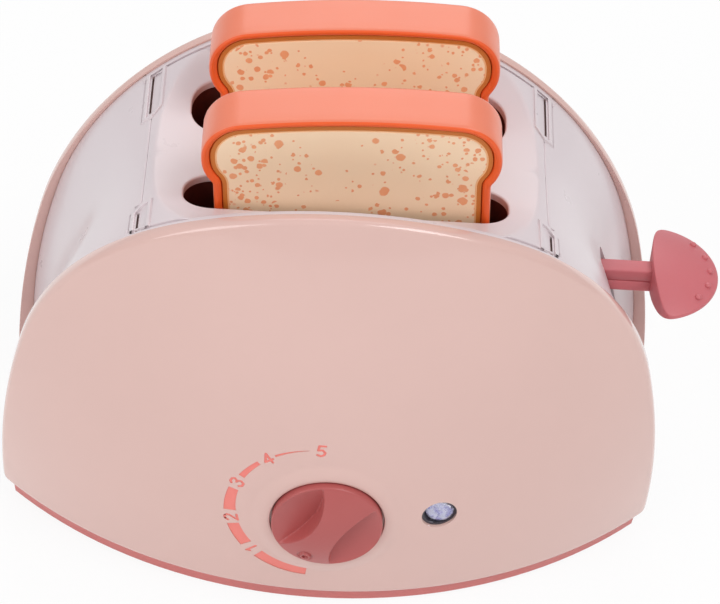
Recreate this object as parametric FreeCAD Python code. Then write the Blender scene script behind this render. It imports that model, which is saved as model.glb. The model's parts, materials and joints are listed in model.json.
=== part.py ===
import FreeCAD, Part
import math
import os

from FreeCAD import Vector

# Toy toaster with two slices. Millimetres, +Z up, front towards -Y.
# The origin lies under the middle of the body, on the surface it stands on.

os.makedirs("parts", exist_ok=True)

# ---------------------------------------------------------------- panels
HALF_WIDTH = 95.0            # half the width of a panel
BODY_HEIGHT = 130.0          # top of the panels above the underside of the base
TOP_RADIUS = 103.0           # crown arc of the outline
CROWN_ANGLE = 66.6           # where the crown meets the shoulder, from +X
SHOULDER_RADIUS = 82.6
SIDE_RADIUS = 217.0
PANEL_BOTTOM = 4.2           # lower edge of the panels above the base's underside
BELLY_DEPTH = 64.8           # from the middle plane to the fullest point of a panel
BELLY_HEIGHT = 35.5          # height of that point
SIDE_RETREAT = 37.72         # a panel's side edge lies this much nearer the middle plane
TOP_RETREAT = 18.55          # and its top this much
PANEL_THICKNESS = 3.2
PANEL_EDGE_ROUND = 1.0

# ---------------------------------------------------------------- white casing
OVERHANG = 0.7               # how far the panels stand out past the casing's top
WAIST_DROP = 1.3             # the casing's top lies this much lower in the middle
EDGE_WAIST = 0.2             # share of the waist that is left beside the panels
WALL = 2.4
STRIP = 1.7                  # rim strip between a panel and the groove
STRIP_END_ROOM = 0.8         # gap between a rim strip's end and the side shell
FRAME_WIDTH = 9.0            # frame ring, measured inwards from its outside
TONGUE_LENGTH = 3.0          # part of the frame that the shells sit on
TONGUE_THICKNESS = 1.6
WAIST_SHOULDER_RADIUS = 62.0
WAIST_SHOULDER_ANGLE = 25.0
WAIST_SIDE_RADIUS = 152.0
WAIST_REACH = 36.0           # distance from the middle plane where the waist fades out
CASING_STATIONS = 8          # lofted sections on each side of the middle plane
SEAM_X = 55.2                # joint line between the top cover and a side shell
GROOVE_WIDTH = 0.7
GROOVE_DEPTH = 1.0
TROUGH_DEPTH = 18.0          # the hollow's lowest line below the panels' top
TROUGH_RADIUS = 88.0
CLIP_INNER = 3.2             # a clip reaches this far over the cover from the seam
CLIP_OUTER = 2.9             # and this far over the shell
CLIP_START = {-1: 22.0, 1: 14.8}  # a front and a back clip's end, from the middle plane
CLIP_CHAMFER = 3.1
CLIP_SLIT_WIDTH = 0.8
CLIP_SLIT_OFFSET = 0.7       # from the seam, outwards
CLIP_SLIT_START = 3.4        # from the clip's end
CLIP_SLIT_STOP = 33.2        # from the middle plane
CLIP_PROUD = 0.4
CLIP_SINK = 1.0

# ---------------------------------------------------------------- bread slots and well
SLOT_END_ROOM = 4.15         # between a slice's lobe and the slot's end
SLOT_SIDE_ROOM = 1.5         # between a slice's face and the slot's side
SLOT_BRIDGE = 18.8           # the cover between the two slots
SLOT_CORNER_FLAT = 1.0       # straight part of a slot's end, each side of its middle
WELL_MARGIN = 0.75           # the well is this much wider than the slot all round
WELL_WALL = 1.5
WELL_ROOM = 0.6              # between the well's floor and a lowered tray

# ---------------------------------------------------------------- slices
SLICE_HEIGHT = 74.5
SLICE_THICKNESS = 15.0
SLICE_HALF_WIDTH = 37.1      # straight part
LOBE_RADIUS = 12.0
LOBE_CENTRE_X = 27.95
LOBE_DROP = 1.0              # upright stretch of a lobe's side
SLICE_TOP_RADIUS = 260.0     # its top is slightly arched
SLICE_FOOT_ROUND = 4.0
SLICE_NECK_ROUND = 2.5
SLICE_LEAN = 3.5             # degrees, a loose slice stands a little askew
SLICE_TILT = {-1: 1.2, 1: -1.3}  # degrees towards the front, front and back slice
SLICE_TILT_SHIFT = {-1: 0.6, 1: -0.65}  # and how far its foot lies off the slot's middle
SLICE_SHIFT = 4.2            # its foot stands off the middle by this
CRUST_WALL = 2.3
CRUST_EDGE_ROUND = 1.6
BREAD_RECESS = 1.0
SLICE_SEAT_ROOM = 0.05

# ---------------------------------------------------------------- carriage and lever
TRAVEL = 36.0
ROD_TOP_DROP = 22.0          # the rods' upper ends below the panels' top
TRAY_DROP = 58.3             # the trays' tops below the panels' top, lever up
TRAY_THICKNESS = 4.0
TRAY_WIDTH = 9.0
TRAY_END_ROOM = 3.5          # between a tray's free end and the well
YOKE_THICKNESS = 3.0
YOKE_EDGE = 0.5              # the yoke reaches this far past its sleeves
YOKE_DROP = 9.7              # the yoke's lower edge below the trays' tops
YOKE_HEIGHT = 20.0
ROD_WELL_ROOM = 1.2          # between the well and a sleeve
ROD_Y = 20.0
ROD_DIAMETER = 4.0
SLEEVE_WALL = 1.5
RUN_CLEARANCE = 0.08         # radial, running fits
SEAT_CLEARANCE = 0.05        # radial, fixed fits
FREE_CLEARANCE = 0.35        # between parts that pass each other
SPRING_CLEARANCE = 1.0       # between a rod and the inside of its spring
SPRING_WIRE = 0.8
SPRING_TURNS = 15
LEVER_RISE = 4.1             # middle of the lever arm above the trays' tops
LEVER_WIDTH = 5.0
LEVER_DEPTH = 7.6
LEVER_ROUND = 0.5
LEVER_FLANGE = 14.0
LEVER_FLANGE_THICKNESS = 2.0
LEVER_LINE = 0.6             # width of the fine groove along the arm
LEVER_LINE_START = 5.0       # from the yoke
LEVER_SLOT_CLEARANCE = 1.0
LEVER_SLOT_HEADROOM = 4.0
LEVER_TENON = 6.0            # how far the arm reaches into the knob
LEVER_TENON_DEPTH = 5.6
KNOB_X = 88.6                # inner face of the lever knob
KNOB_RADIUS = 19.4
KNOB_CROWN = 4.8             # the knob is a lens: its top bulges this much over the rim
KNOB_KEEL = 4.7              # and its underside this much
KNOB_RIM = 1.0               # thickness of its edge
KNOB_BACK_RADIUS = 60.0      # the inner face is gently convex
KNOB_CORNER = 2.5
KNOB_RISE = 1.3              # middle of its rim above the lever's middle
KNOB_DOT_DIAMETER = 1.8
KNOB_DOT_PROUD = 0.45
KNOB_DOT_RADIUS = 16.9
KNOB_DOT_STEP = 20.5         # degrees between neighbouring dots

# ---------------------------------------------------------------- dial and lamp
DIAL_HEIGHT = BELLY_HEIGHT
DIAL_RADIUS = 15.5
DIAL_PROUD = 1.6             # edge of the dial in front of the panel
DIAL_DOME = 3.6              # the dome rises this much more
DIAL_BODY = 7.0
DIAL_POINTER_ANGLE = 243.0   # where the pointer stands at rest, from +X
DIAL_SCOOP_RADIUS = 21.0
DIAL_RIB = 8.0
DIAL_SCOOP_DEPTH = 4.2
DIAL_SHAFT_DIAMETER = 6.0
DIAL_RECESS = 2.0            # depth of its seat in the panel
DIAL_RING_INSET = 3.2        # the round pointer's middle, from the dial's edge
DIAL_RING_RADIUS = 1.5
DIAL_RING_PROUD = 2.2
DIAL_FRONT_WALL = 1.0        # left in front of the shaft's bore
SHAFT_TIP_ROOM = 0.4
CLICK_BOX_SIZE = 30.0
CLICK_BOX_FRONT = 56.5       # distance from the middle plane
CLICK_BOX_DEPTH = 14.0
CLICK_BOX_WALL = 1.8
CLICK_WHEEL_RADIUS = 9.0
CLICK_WHEEL_WIDTH = 4.0
CLICK_TEETH = 12
CLICK_TOOTH_RADIUS = 1.2
CLICK_EAR_END = 4.0          # the ear's end past its screw, and half its height
CLICK_SCREW_LENGTH = 7.0
CLICK_POST_HOLE = 5.0
CLICK_EAR_ROOM = 6.0         # from the switch housing's side to a screw in its ear
CLICK_EAR_THICKNESS = 2.5
SCALE_POCKET = 0.6           # depth of the pockets for the marks
SCALE_SINK = 0.2             # the marks lie this much below the panel's face
SCALE_X = -3.0               # middle of the scale's arc from the dial's axis
SCALE_RISE = 2.4
SCALE_RADIUS = 24.25
SCALE_BARS = (               # start and end angle, width at the start and at the end
    (265.5, 229.5, 3.1, 3.6),
    (217.8, 197.5, 3.7, 3.5),
    (185.2, 164.2, 3.5, 2.8),
    (151.5, 133.4, 1.9, 1.4),
    (120.6, 97.4, 0.8, 0.2),
)
DIGIT_STROKE = 0.75
DIGIT_HALF = 1.75            # half a digit's height, between the middles of its strokes
DIGIT_ANGLES = (223.5, 191.9, 157.9, 126.2, 89.6)
DIGIT_STROKES = (            # corners of each digit, from -1 to 1 over its height
    ((-0.3, 0.6), (0.1, 1.0), (0.1, -1.0)),
    ((-0.6, 0.6), (-0.3, 1.0), (0.3, 1.0), (0.6, 0.6), (0.5, 0.2), (-0.6, -1.0), (0.6, -1.0)),
    ((-0.6, 0.7), (-0.3, 1.0), (0.3, 1.0), (0.6, 0.6), (0.3, 0.1), (0.0, 0.1), (0.3, 0.1),
     (0.6, -0.5), (0.3, -1.0), (-0.3, -1.0), (-0.6, -0.6)),
    ((0.3, -1.0), (0.3, 1.0), (-0.7, -0.4), (0.7, -0.4)),
    ((0.6, 1.0), (-0.4, 1.0), (-0.5, 0.1), (0.2, 0.2), (0.6, -0.3), (0.4, -0.8), (-0.1, -1.0),
     (-0.6, -0.8)),
)
LAMP_X = 31.2
LAMP_HEIGHT = 37.2
LAMP_RADIUS = 4.9
LAMP_CUP_WALL = 0.7
LAMP_CUP_BACK = 54.5         # distance from the middle plane
LAMP_RECESS = 0.9
LENS_BACK = 58.5
LENS_EDGE = 59.6
LENS_DOME = 1.6
LED_RADIUS = 2.5
LED_LENGTH = 8.0
LED_ROOM = 0.3               # between the lens and the lamp's tip
LED_LEAD_RADIUS = 0.3
LED_LEAD_LENGTH = 6.0
LED_LEAD_PITCH = 2.54
LED_LEAD_SINK = 0.5

# ---------------------------------------------------------------- base and what it holds
FOOT_PROUD = 0.8
FOOT_DIAMETER = 12.0
FOOT_SINK = 0.8
FOOT_ROOM = 18.0             # from a foot's middle to the shell's outside
FOOT_Y = 28.0
BASE_LIP = 1.0               # the base stands out past the casing by this
CELL_DIAMETER = 14.5
CELL_TIP_DIAMETER = 5.4
CELL_TIP_LENGTH = 1.2
CELL_ROOM = 0.4              # round a cell in its box
CELL_LENGTH = 50.5
CELL_PITCH = 15.3
CELL_COUNT = 3
BOX_WALL = 1.6
BOX_END_ROOM = 3.0           # room for the contacts at each end of a cell
CONTACT_THICKNESS = 0.5
CONTACT_HALF = 5.0
CONTACT_SPRING_RADIUS = 3.6
CONTACT_BUMP_RADIUS = 1.5
DOOR_MARGIN = 1.2
DOOR_GAP = 0.15              # round the door
DOOR_TAB_HALF = 5.0
DOOR_TAB_END = 4.0           # past the screw
DOOR_BOSS_HEIGHT = 14.0
DOOR_SCREW_LENGTH = 9.0
DOOR_THICKNESS = 2.2
SCREW_DIAMETER = 2.6
SCREW_CLEARANCE = 0.1        # radial, in a hole that a screw passes
SCREW_HEAD = 5.0
SCREW_HEAD_HEIGHT = 1.8
DOOR_SCREW_SINK = 1.4
DOOR_PAD_DIAMETER = 16.0     # a low pad on the door bears the middle of the base
BOSS_DIAMETER = 7.6
SHELL_BOSS_ROOM = 9.0        # from a screw post's axis to the shell's outside
SHELL_BOSS_Y = 15.0
SHELL_BOSS_TOP = 22.0
SHELL_WEB = 2.0
BOSS_FLOOR = 3.0             # left above a screw hole
BASE_SCREW_LENGTH = 14.0
SOCKET_WALL = 1.0            # round a rod's foot
SPEAKER_ROOM = 8.5           # from the speaker to the shell's outside
SPEAKER_DIAMETER = 36.0
SPEAKER_HEIGHT = 9.0
SPEAKER_FLANGE = 1.5
SPEAKER_MAGNET_RADIUS = 9.0
SPEAKER_MAGNET_HEIGHT = 3.0
SPEAKER_CONE_RADIUS = 5.0
SPEAKER_CONE_DEPTH = 4.0
SPEAKER_RIM = 3.0
SOUND_HOLE_RADIUS = 1.1
SOUND_HOLE_PITCH = 5.0
BOARD_X = 36.0
BOARD_LENGTH = 40.0
BOARD_HEIGHT = 38.0
BOARD_Y = 43.0
BOARD_THICKNESS = 1.6
BOARD_BOTTOM = 19.0
BOARD_RAIL = 4.0             # width of a rail
BOARD_RAIL_DEPTH = 6.0
BOARD_RAIL_HOLD = 3.0        # how high a rail grips the board
CHIP_SIZE = (12.0, 2.0, 8.0)
CAPACITOR_RADIUS = 2.5
CAPACITOR_HEIGHT = 6.0
CAPACITOR_OFFSET = 14.0

# ---------------------------------------------------------------- hold-down magnet
MAGNET_DIAMETER = 10.0
MAGNET_HEIGHT = 8.0
MAGNET_SEAT = 1.5            # its pillar is this much wider
KEEPER_LENGTH = 12.0
KEEPER_WIDTH = 7.0
KEEPER_THICKNESS = 1.6

# ---------------------------------------------------------------- derived places
CROWN_CENTRE = BODY_HEIGHT - TOP_RADIUS
PLAN_RADIUS = (HALF_WIDTH ** 2 + SIDE_RETREAT ** 2) / (2 * SIDE_RETREAT)
BELLY_RADIUS = ((BODY_HEIGHT - BELLY_HEIGHT) ** 2 + TOP_RETREAT ** 2) / (2 * TOP_RETREAT)
TROUGH_FLOOR = BODY_HEIGHT - TROUGH_DEPTH
TRAY_TOP = BODY_HEIGHT - TRAY_DROP
YOKE_BOTTOM = TRAY_TOP - YOKE_DROP
LEVER_HEIGHT = TRAY_TOP + LEVER_RISE
WELL_FLOOR = TRAY_TOP - TRAY_THICKNESS - TRAVEL - WELL_WALL - WELL_ROOM
BARREL_AXIS = PLAN_RADIUS - BELLY_DEPTH
FRAME_INNER = PANEL_THICKNESS + STRIP
LOW_Z = -8.0                 # where cutting shapes start, below everything
OVER = 5.0                   # how far cutting shapes reach past what they cut
FRONT = Vector(0, -1, 0)
SLOT_LENGTH = 2 * (LOBE_CENTRE_X + LOBE_RADIUS + SLOT_END_ROOM)
SLOT_WIDTH = SLICE_THICKNESS + 2 * SLOT_SIDE_ROOM
SLOT_SPACING = SLOT_WIDTH + SLOT_BRIDGE
SLOT_CORNER = SLOT_WIDTH / 2 - SLOT_CORNER_FLAT
WELL_OUT_X = SLOT_LENGTH / 2 + WELL_MARGIN + WELL_WALL
WELL_OUT_Y = SLOT_SPACING / 2 + SLOT_WIDTH / 2 + WELL_MARGIN + WELL_WALL
SLEEVE_DIAMETER = ROD_DIAMETER + 2 * SLEEVE_WALL
ROD_X = WELL_OUT_X + ROD_WELL_ROOM + SLEEVE_DIAMETER / 2
SPRING_DIAMETER = ROD_DIAMETER + 2 * SPRING_CLEARANCE + 2 * SPRING_WIRE
YOKE_HALF_WIDTH = ROD_Y + SLEEVE_DIAMETER / 2 + YOKE_EDGE
CLICK_EAR_X = CLICK_BOX_SIZE / 2 + CLICK_EAR_ROOM
TRAY_END_X = SLOT_LENGTH / 2 + WELL_MARGIN - TRAY_END_ROOM
CASING_STEP = WAIST_REACH / 4  # distance between two lofted sections
YOKE_X = ROD_X - YOKE_THICKNESS / 2
YOKE_OUT = ROD_X + YOKE_THICKNESS / 2
ROD_TOP = BODY_HEIGHT - ROD_TOP_DROP
ROD_SEAT = 5.0               # how deep the rods sit in their seats
TOP = PANEL_BOTTOM           # upper face of the base
CELL_Z = DOOR_THICKNESS + CELL_DIAMETER / 2 + CELL_ROOM
BOX_HALF_X = CELL_LENGTH / 2 + BOX_END_ROOM
BOX_HALF_Y = (CELL_COUNT - 1) * CELL_PITCH / 2 + CELL_DIAMETER / 2 + CELL_ROOM
BOX_TOP = CELL_Z + CELL_DIAMETER / 2 + CELL_ROOM
DOOR_SCREW_Y = BOX_HALF_Y + BOX_WALL + DOOR_TAB_HALF
MAGNET_TOP = YOKE_BOTTOM - TRAVEL - KEEPER_THICKNESS - FREE_CLEARANCE
KNOB_MIDDLE = LEVER_HEIGHT + KNOB_RISE
DIAL_FACE = BELLY_DEPTH + DIAL_PROUD
DIAL_SEAT = BELLY_DEPTH - DIAL_RECESS
SHAFT_TIP = CLICK_BOX_FRONT - CLICK_BOX_DEPTH
CLIP_X0 = SEAM_X - CLIP_INNER
CLIP_X1 = SEAM_X + CLIP_OUTER
STRIP_X = CLIP_X1            # the rim strips end at the clips' outer sides


# ================================================================ helpers
def cyl(radius, height, at, axis=Vector(0, 0, 1)):
    """A cylinder from a point along an axis."""
    return Part.makeCylinder(radius, height, at, axis)


def block(x0, x1, y0, y1, z0, z1):
    """A box between two corners."""
    return Part.makeBox(x1 - x0, y1 - y0, z1 - z0, Vector(x0, y0, z0))


def fuse(shapes):
    """One clean solid from touching or overlapping shapes."""
    return shapes[0].multiFuse(shapes[1:]).removeSplitter()


def save(node, shape):
    """Write one node, standing on its feet."""
    placed = shape.copy()
    placed.translate(Vector(0, 0, FOOT_PROUD))
    placed.exportStep("parts/" + node + ".step")
    solids = len(placed.Solids)
    print(f"{node:22s} solids {solids:2d}  valid {placed.isValid()}  volume {placed.Volume:10.1f}")


def rim(angle, centre, radius):
    """A point of an arc in the XZ plane, as x and z."""
    turn = math.radians(angle)
    return centre[0] + radius * math.cos(turn), centre[1] + radius * math.sin(turn)


def arc(centre, radius, start, end, y):
    """An arc in the plane of constant y, between two angles from +X."""
    points = [rim(a, centre, radius) for a in (start, (start + end) / 2, end)]
    return Part.Arc(*[Vector(px, y, pz) for px, pz in points]).toShape()


def mirrored(shape, across=Vector(1, 0, 0)):
    """A mirror copy across a plane through the origin."""
    return shape.mirror(Vector(0, 0, 0), across)


# ================================================================ outline
def shoulder(waist):
    """Centres, radii and angles of the outline's shoulder and side arcs.

    waist is 0 for the panels' outline and 1 for the casing's narrowest section.
    """
    panel_centre = rim(CROWN_ANGLE, (0, CROWN_CENTRE), TOP_RADIUS - SHOULDER_RADIUS)
    reach = (SIDE_RADIUS + panel_centre[0] - HALF_WIDTH) / (SIDE_RADIUS - SHOULDER_RADIUS)
    panel_angle = math.degrees(math.acos(reach))
    shoulder_radius = SHOULDER_RADIUS + waist * (WAIST_SHOULDER_RADIUS - SHOULDER_RADIUS)
    side_radius = SIDE_RADIUS + waist * (WAIST_SIDE_RADIUS - SIDE_RADIUS)
    angle = panel_angle + waist * (WAIST_SHOULDER_ANGLE - panel_angle)
    centre = rim(CROWN_ANGLE, (0, CROWN_CENTRE), TOP_RADIUS - shoulder_radius)
    side_centre = rim(angle, centre, shoulder_radius - side_radius)
    return centre, shoulder_radius, angle, side_centre, side_radius


def section(inset, y, bottom, waist=0.0):
    """The closed outline at one y, moved inwards by inset."""
    centre, radius, angle, side_centre, side_radius = shoulder(waist)
    foot = math.degrees(math.asin((bottom - side_centre[1]) / (side_radius - inset)))
    crown = arc((0, CROWN_CENTRE), TOP_RADIUS - inset, 180 - CROWN_ANGLE, CROWN_ANGLE, y)
    right = arc(centre, radius - inset, CROWN_ANGLE, angle, y)
    right_side = arc(side_centre, side_radius - inset, angle, foot, y)
    left_centre = (-centre[0], centre[1])
    left_side_centre = (-side_centre[0], side_centre[1])
    left_side = arc(left_side_centre, side_radius - inset, 180 - foot, 180 - angle, y)
    left = arc(left_centre, radius - inset, 180 - angle, 180 - CROWN_ANGLE, y)
    floor_x = rim(foot, side_centre, side_radius - inset)[0]
    floor = Part.LineSegment(Vector(floor_x, y, bottom), Vector(-floor_x, y, bottom)).toShape()
    return Part.Wire([crown, right, right_side, floor, left_side, left])


def side_reach(z):
    """Half the width of the casing's narrowest section at a height near its foot."""
    side_centre, side_radius = shoulder(1.0)[3:]
    radius = side_radius - OVERHANG - WAIST_DROP
    return side_centre[0] + math.sqrt(radius ** 2 - (z - side_centre[1]) ** 2)


BASE_REACH = side_reach(TOP)
SHELL_BOSS_X = BASE_REACH - SHELL_BOSS_ROOM
FOOT_X = BASE_REACH - FOOT_ROOM
SPEAKER_X = SPEAKER_DIAMETER / 2 + SPEAKER_ROOM - BASE_REACH


def slab(inset, bottom, y0, y1):
    """The panels' outline as a straight prism along Y."""
    face = Part.Face(section(inset, y0, bottom))
    return face.extrude(Vector(0, y1 - y0, 0))


def casing(inset):
    """The waisted body of the casing, moved inwards by inset from its outside."""
    wires = []
    for station in range(-CASING_STATIONS, CASING_STATIONS + 1):
        y = station * CASING_STEP
        fade = max(0.0, 1 - (y / WAIST_REACH) ** 2) ** 2
        waist = EDGE_WAIST + (1 - EDGE_WAIST) * fade
        wires.append(section(OVERHANG + WAIST_DROP * fade + inset, y, LOW_Z, waist))
    return Part.makeLoft(wires, True, False)


def barrel(inset, side):
    """The inside of one panel's bulged surface: side is -1 in front, 1 behind."""
    radius = BELLY_RADIUS - inset
    back = PLAN_RADIUS - BELLY_RADIUS
    heights = (LOW_Z, BELLY_HEIGHT, BODY_HEIGHT - LOW_Z)
    points = []
    for z in heights:
        reach = back + math.sqrt(radius ** 2 - (z - BELLY_HEIGHT) ** 2)
        points.append(Vector(reach, 0, z))
    low = Vector(0, 0, heights[0])
    high = Vector(0, 0, heights[2])
    edges = [Part.LineSegment(low, points[0]).toShape(),
             Part.Arc(*points).toShape(),
             Part.LineSegment(points[2], high).toShape(),
             Part.LineSegment(high, low).toShape()]
    solid = Part.Face(Part.Wire(edges)).revolve(Vector(0, 0, 0), Vector(0, 0, 1), 360)
    solid.translate(Vector(0, -side * BARREL_AXIS, 0))
    return solid


def lens(inset):
    """The space between the two bulged surfaces."""
    return barrel(inset, -1).common(barrel(inset, 1))


def panel_depth(x, z, inset=0.0):
    """Distance of a panel's surface from the middle plane."""
    reach = math.sqrt((BELLY_RADIUS - inset) ** 2 - (z - BELLY_HEIGHT) ** 2)
    radius = PLAN_RADIUS - BELLY_RADIUS + reach
    return math.sqrt(radius ** 2 - x ** 2) - BARREL_AXIS


def trough(extra=0.0):
    """The cylinder that hollows the top cover, along X."""
    at = Vector(-HALF_WIDTH, 0, TROUGH_FLOOR + TROUGH_RADIUS)
    return cyl(TROUGH_RADIUS + extra, 2 * HALF_WIDTH, at, Vector(1, 0, 0))


def screw(at, axis, length):
    """A pan-head screw: the head's underside is at the given point, axis runs down the shank."""
    shank = cyl(SCREW_DIAMETER / 2, length, at, axis)
    back = Vector(axis) * -SCREW_HEAD_HEIGHT
    head = cyl(SCREW_HEAD / 2, SCREW_HEAD_HEIGHT, at + back, axis)
    slot_depth = SCREW_HEAD_HEIGHT / 2
    ring = cyl(SCREW_HEAD / 6, slot_depth, at + back, axis)
    return shank.fuse(head).removeSplitter().cut(ring)


# ================================================================ panels and casing
def panel(side):
    """One bulged panel without holes."""
    plate = slab(0, PANEL_BOTTOM, 0, side * (BELLY_DEPTH + OVER))
    plate = plate.common(barrel(0, side)).cut(barrel(PANEL_THICKNESS, side))
    outer = max(plate.Faces, key=lambda face: face.Area)
    return plate.makeFillet(PANEL_EDGE_ROUND, outer.Edges)


def above_base(shape):
    """What stands higher than the base's top."""
    return shape.cut(block(-2 * HALF_WIDTH, 2 * HALF_WIDTH, -2 * HALF_WIDTH, 2 * HALF_WIDTH,
                           4 * LOW_Z, PANEL_BOTTOM))


CASING_OUT = casing(0)
CASING_IN = casing(WALL)
CASING_SKIN = CASING_OUT.cut(CASING_IN)
CASING_SPACE = lens(FRAME_INNER)


def top_slab(reach):
    """The stretch of the casing's top between two upright planes."""
    return block(-reach, reach, -HALF_WIDTH, HALF_WIDTH, BODY_HEIGHT / 2, BODY_HEIGHT + OVER)


def trim_frame(side):
    """The frame behind a panel: a rim strip on the casing's top, and a tongue under the shells."""
    ends = sorted((0, side * (BELLY_DEPTH + OVER)))
    half = block(-HALF_WIDTH, HALF_WIDTH, ends[0], ends[1], LOW_Z, BODY_HEIGHT)
    strip = CASING_OUT.common(top_slab(STRIP_X))
    ring = CASING_IN.fuse(strip).cut(casing(FRAME_WIDTH))
    ring = ring.common(barrel(PANEL_THICKNESS, side)).cut(barrel(FRAME_INNER, side))
    tongue = CASING_IN.cut(casing(WALL + TONGUE_THICKNESS)).cut(trough(WALL))
    tongue = tongue.common(barrel(FRAME_INNER, side))
    tongue = tongue.cut(barrel(FRAME_INNER + TONGUE_LENGTH, side))
    return above_base(fuse([ring.common(half), tongue.common(half)]))


GROOVE_BAND = casing(-1).cut(casing(GROOVE_DEPTH)).common(lens(FRAME_INNER - 1))
GROOVE_BAND = GROOVE_BAND.cut(lens(FRAME_INNER + GROOVE_WIDTH)).common(top_slab(STRIP_X))
STRIP_ROOM = top_slab(STRIP_X + STRIP_END_ROOM).cut(lens(FRAME_INNER))


def slot_prism(y, margin, z0, z1):
    """A bread slot as a rounded block."""
    half = SLOT_LENGTH / 2 + margin
    width = SLOT_WIDTH / 2 + margin
    shape = block(-half, half, y - width, y + width, z0, z1)
    edges = [e for e in shape.Edges if abs(e.tangentAt(e.FirstParameter).z) > 0.9]
    return shape.makeFillet(SLOT_CORNER + margin, edges)


SLOT_PLACES = (-SLOT_SPACING / 2, SLOT_SPACING / 2)
SEAM_SLAB = top_slab(SEAM_X)


def rod_places():
    """The two guide rods, as points on the ground."""
    return [Vector(ROD_X, side * ROD_Y, 0) for side in (-1, 1)]


def top_cover():
    """The hollowed cover between the seams, with the bread slots and the rods' upper seats."""
    outside = CASING_OUT.cut(trough())
    inside = CASING_IN.cut(trough(WALL))
    cover = outside.cut(inside).common(SEAM_SLAB).common(CASING_SPACE).cut(GROOVE_BAND)
    for y in SLOT_PLACES:
        cover = cover.cut(slot_prism(y, 0, BODY_HEIGHT / 2, BODY_HEIGHT + OVER))
    for place in rod_places():
        low = place + Vector(0, 0, ROD_TOP - ROD_SEAT)
        seat = cyl(SLEEVE_DIAMETER / 2, BODY_HEIGHT - low.z, low)
        seat = seat.common(CASING_OUT.cut(trough())).common(SEAM_SLAB)
        cover = cover.fuse(seat).removeSplitter()
        cover = cover.cut(cyl(ROD_DIAMETER / 2 + SEAT_CLEARANCE, ROD_SEAT, low))
    return cover


def clip_prism(side_x, side_y):
    """The plan shape of one clip, as a prism: a plate with a cut corner and a long slit."""
    start = CLIP_START[side_y]
    stop = HALF_WIDTH
    outline = {
        -1: [(CLIP_X0, start), (CLIP_X1 - CLIP_CHAMFER, start), (CLIP_X1, start + CLIP_CHAMFER),
             (CLIP_X1, stop), (CLIP_X0, stop)],
        1: [(CLIP_X0, start + CLIP_CHAMFER), (CLIP_X0 + CLIP_CHAMFER, start), (CLIP_X1, start),
            (CLIP_X1, stop), (CLIP_X0, stop)],
    }[side_y]
    corners = [Vector(side_x * x, side_y * y, BODY_HEIGHT / 2) for x, y in outline]
    face = Part.Face(Part.makePolygon(corners + corners[:1]))
    plate = face.extrude(Vector(0, 0, BODY_HEIGHT / 2))
    slit_x = side_x * (SEAM_X + CLIP_SLIT_OFFSET)
    ends = sorted((side_y * (start + CLIP_SLIT_START), side_y * CLIP_SLIT_STOP))
    half = CLIP_SLIT_WIDTH / 2
    return plate.cut(block(slit_x - half, slit_x + half, ends[0], ends[1], 0, BODY_HEIGHT * 2))


def seam_clips():
    """The four clips on the seams, let into the cover and the shells."""
    band = casing(-CLIP_PROUD).cut(casing(CLIP_SINK)).common(lens(FRAME_INNER + GROOVE_WIDTH))
    return [clip_prism(side_x, side_y).common(band) for side_x in (-1, 1) for side_y in (-1, 1)]


def side_shell(side):
    """One side of the casing; the right one has the lever's slot."""
    ends = sorted((0, side * 2 * HALF_WIDTH))
    half = block(ends[0], ends[1], -HALF_WIDTH, HALF_WIDTH, LOW_Z, BODY_HEIGHT + OVER)
    shell = CASING_SKIN.common(lens(PANEL_THICKNESS)).cut(STRIP_ROOM)
    shell = above_base(shell.cut(GROOVE_BAND).cut(SEAM_SLAB).common(half))
    reach = sorted((side * SHELL_BOSS_X, side * HALF_WIDTH))
    for y in (-SHELL_BOSS_Y, SHELL_BOSS_Y):
        at = Vector(side * SHELL_BOSS_X, y, TOP)
        post = cyl(BOSS_DIAMETER / 2, SHELL_BOSS_TOP - TOP, at)
        web = block(reach[0], reach[1], y - SHELL_WEB / 2, y + SHELL_WEB / 2, TOP, SHELL_BOSS_TOP)
        shell = fuse([shell, post, web.common(CASING_OUT)])
        shell = shell.cut(cyl(SCREW_DIAMETER / 2, SHELL_BOSS_TOP - TOP - BOSS_FLOOR, at))
    if side > 0:
        gap = LEVER_WIDTH / 2 + LEVER_SLOT_CLEARANCE
        low = LEVER_HEIGHT - LEVER_DEPTH / 2 - TRAVEL - LEVER_SLOT_CLEARANCE
        high = LEVER_HEIGHT + LEVER_DEPTH / 2 + LEVER_SLOT_HEADROOM
        shell = shell.cut(block(YOKE_OUT + OVER, HALF_WIDTH + OVER, -gap, gap, low, high))
    return shell


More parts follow.
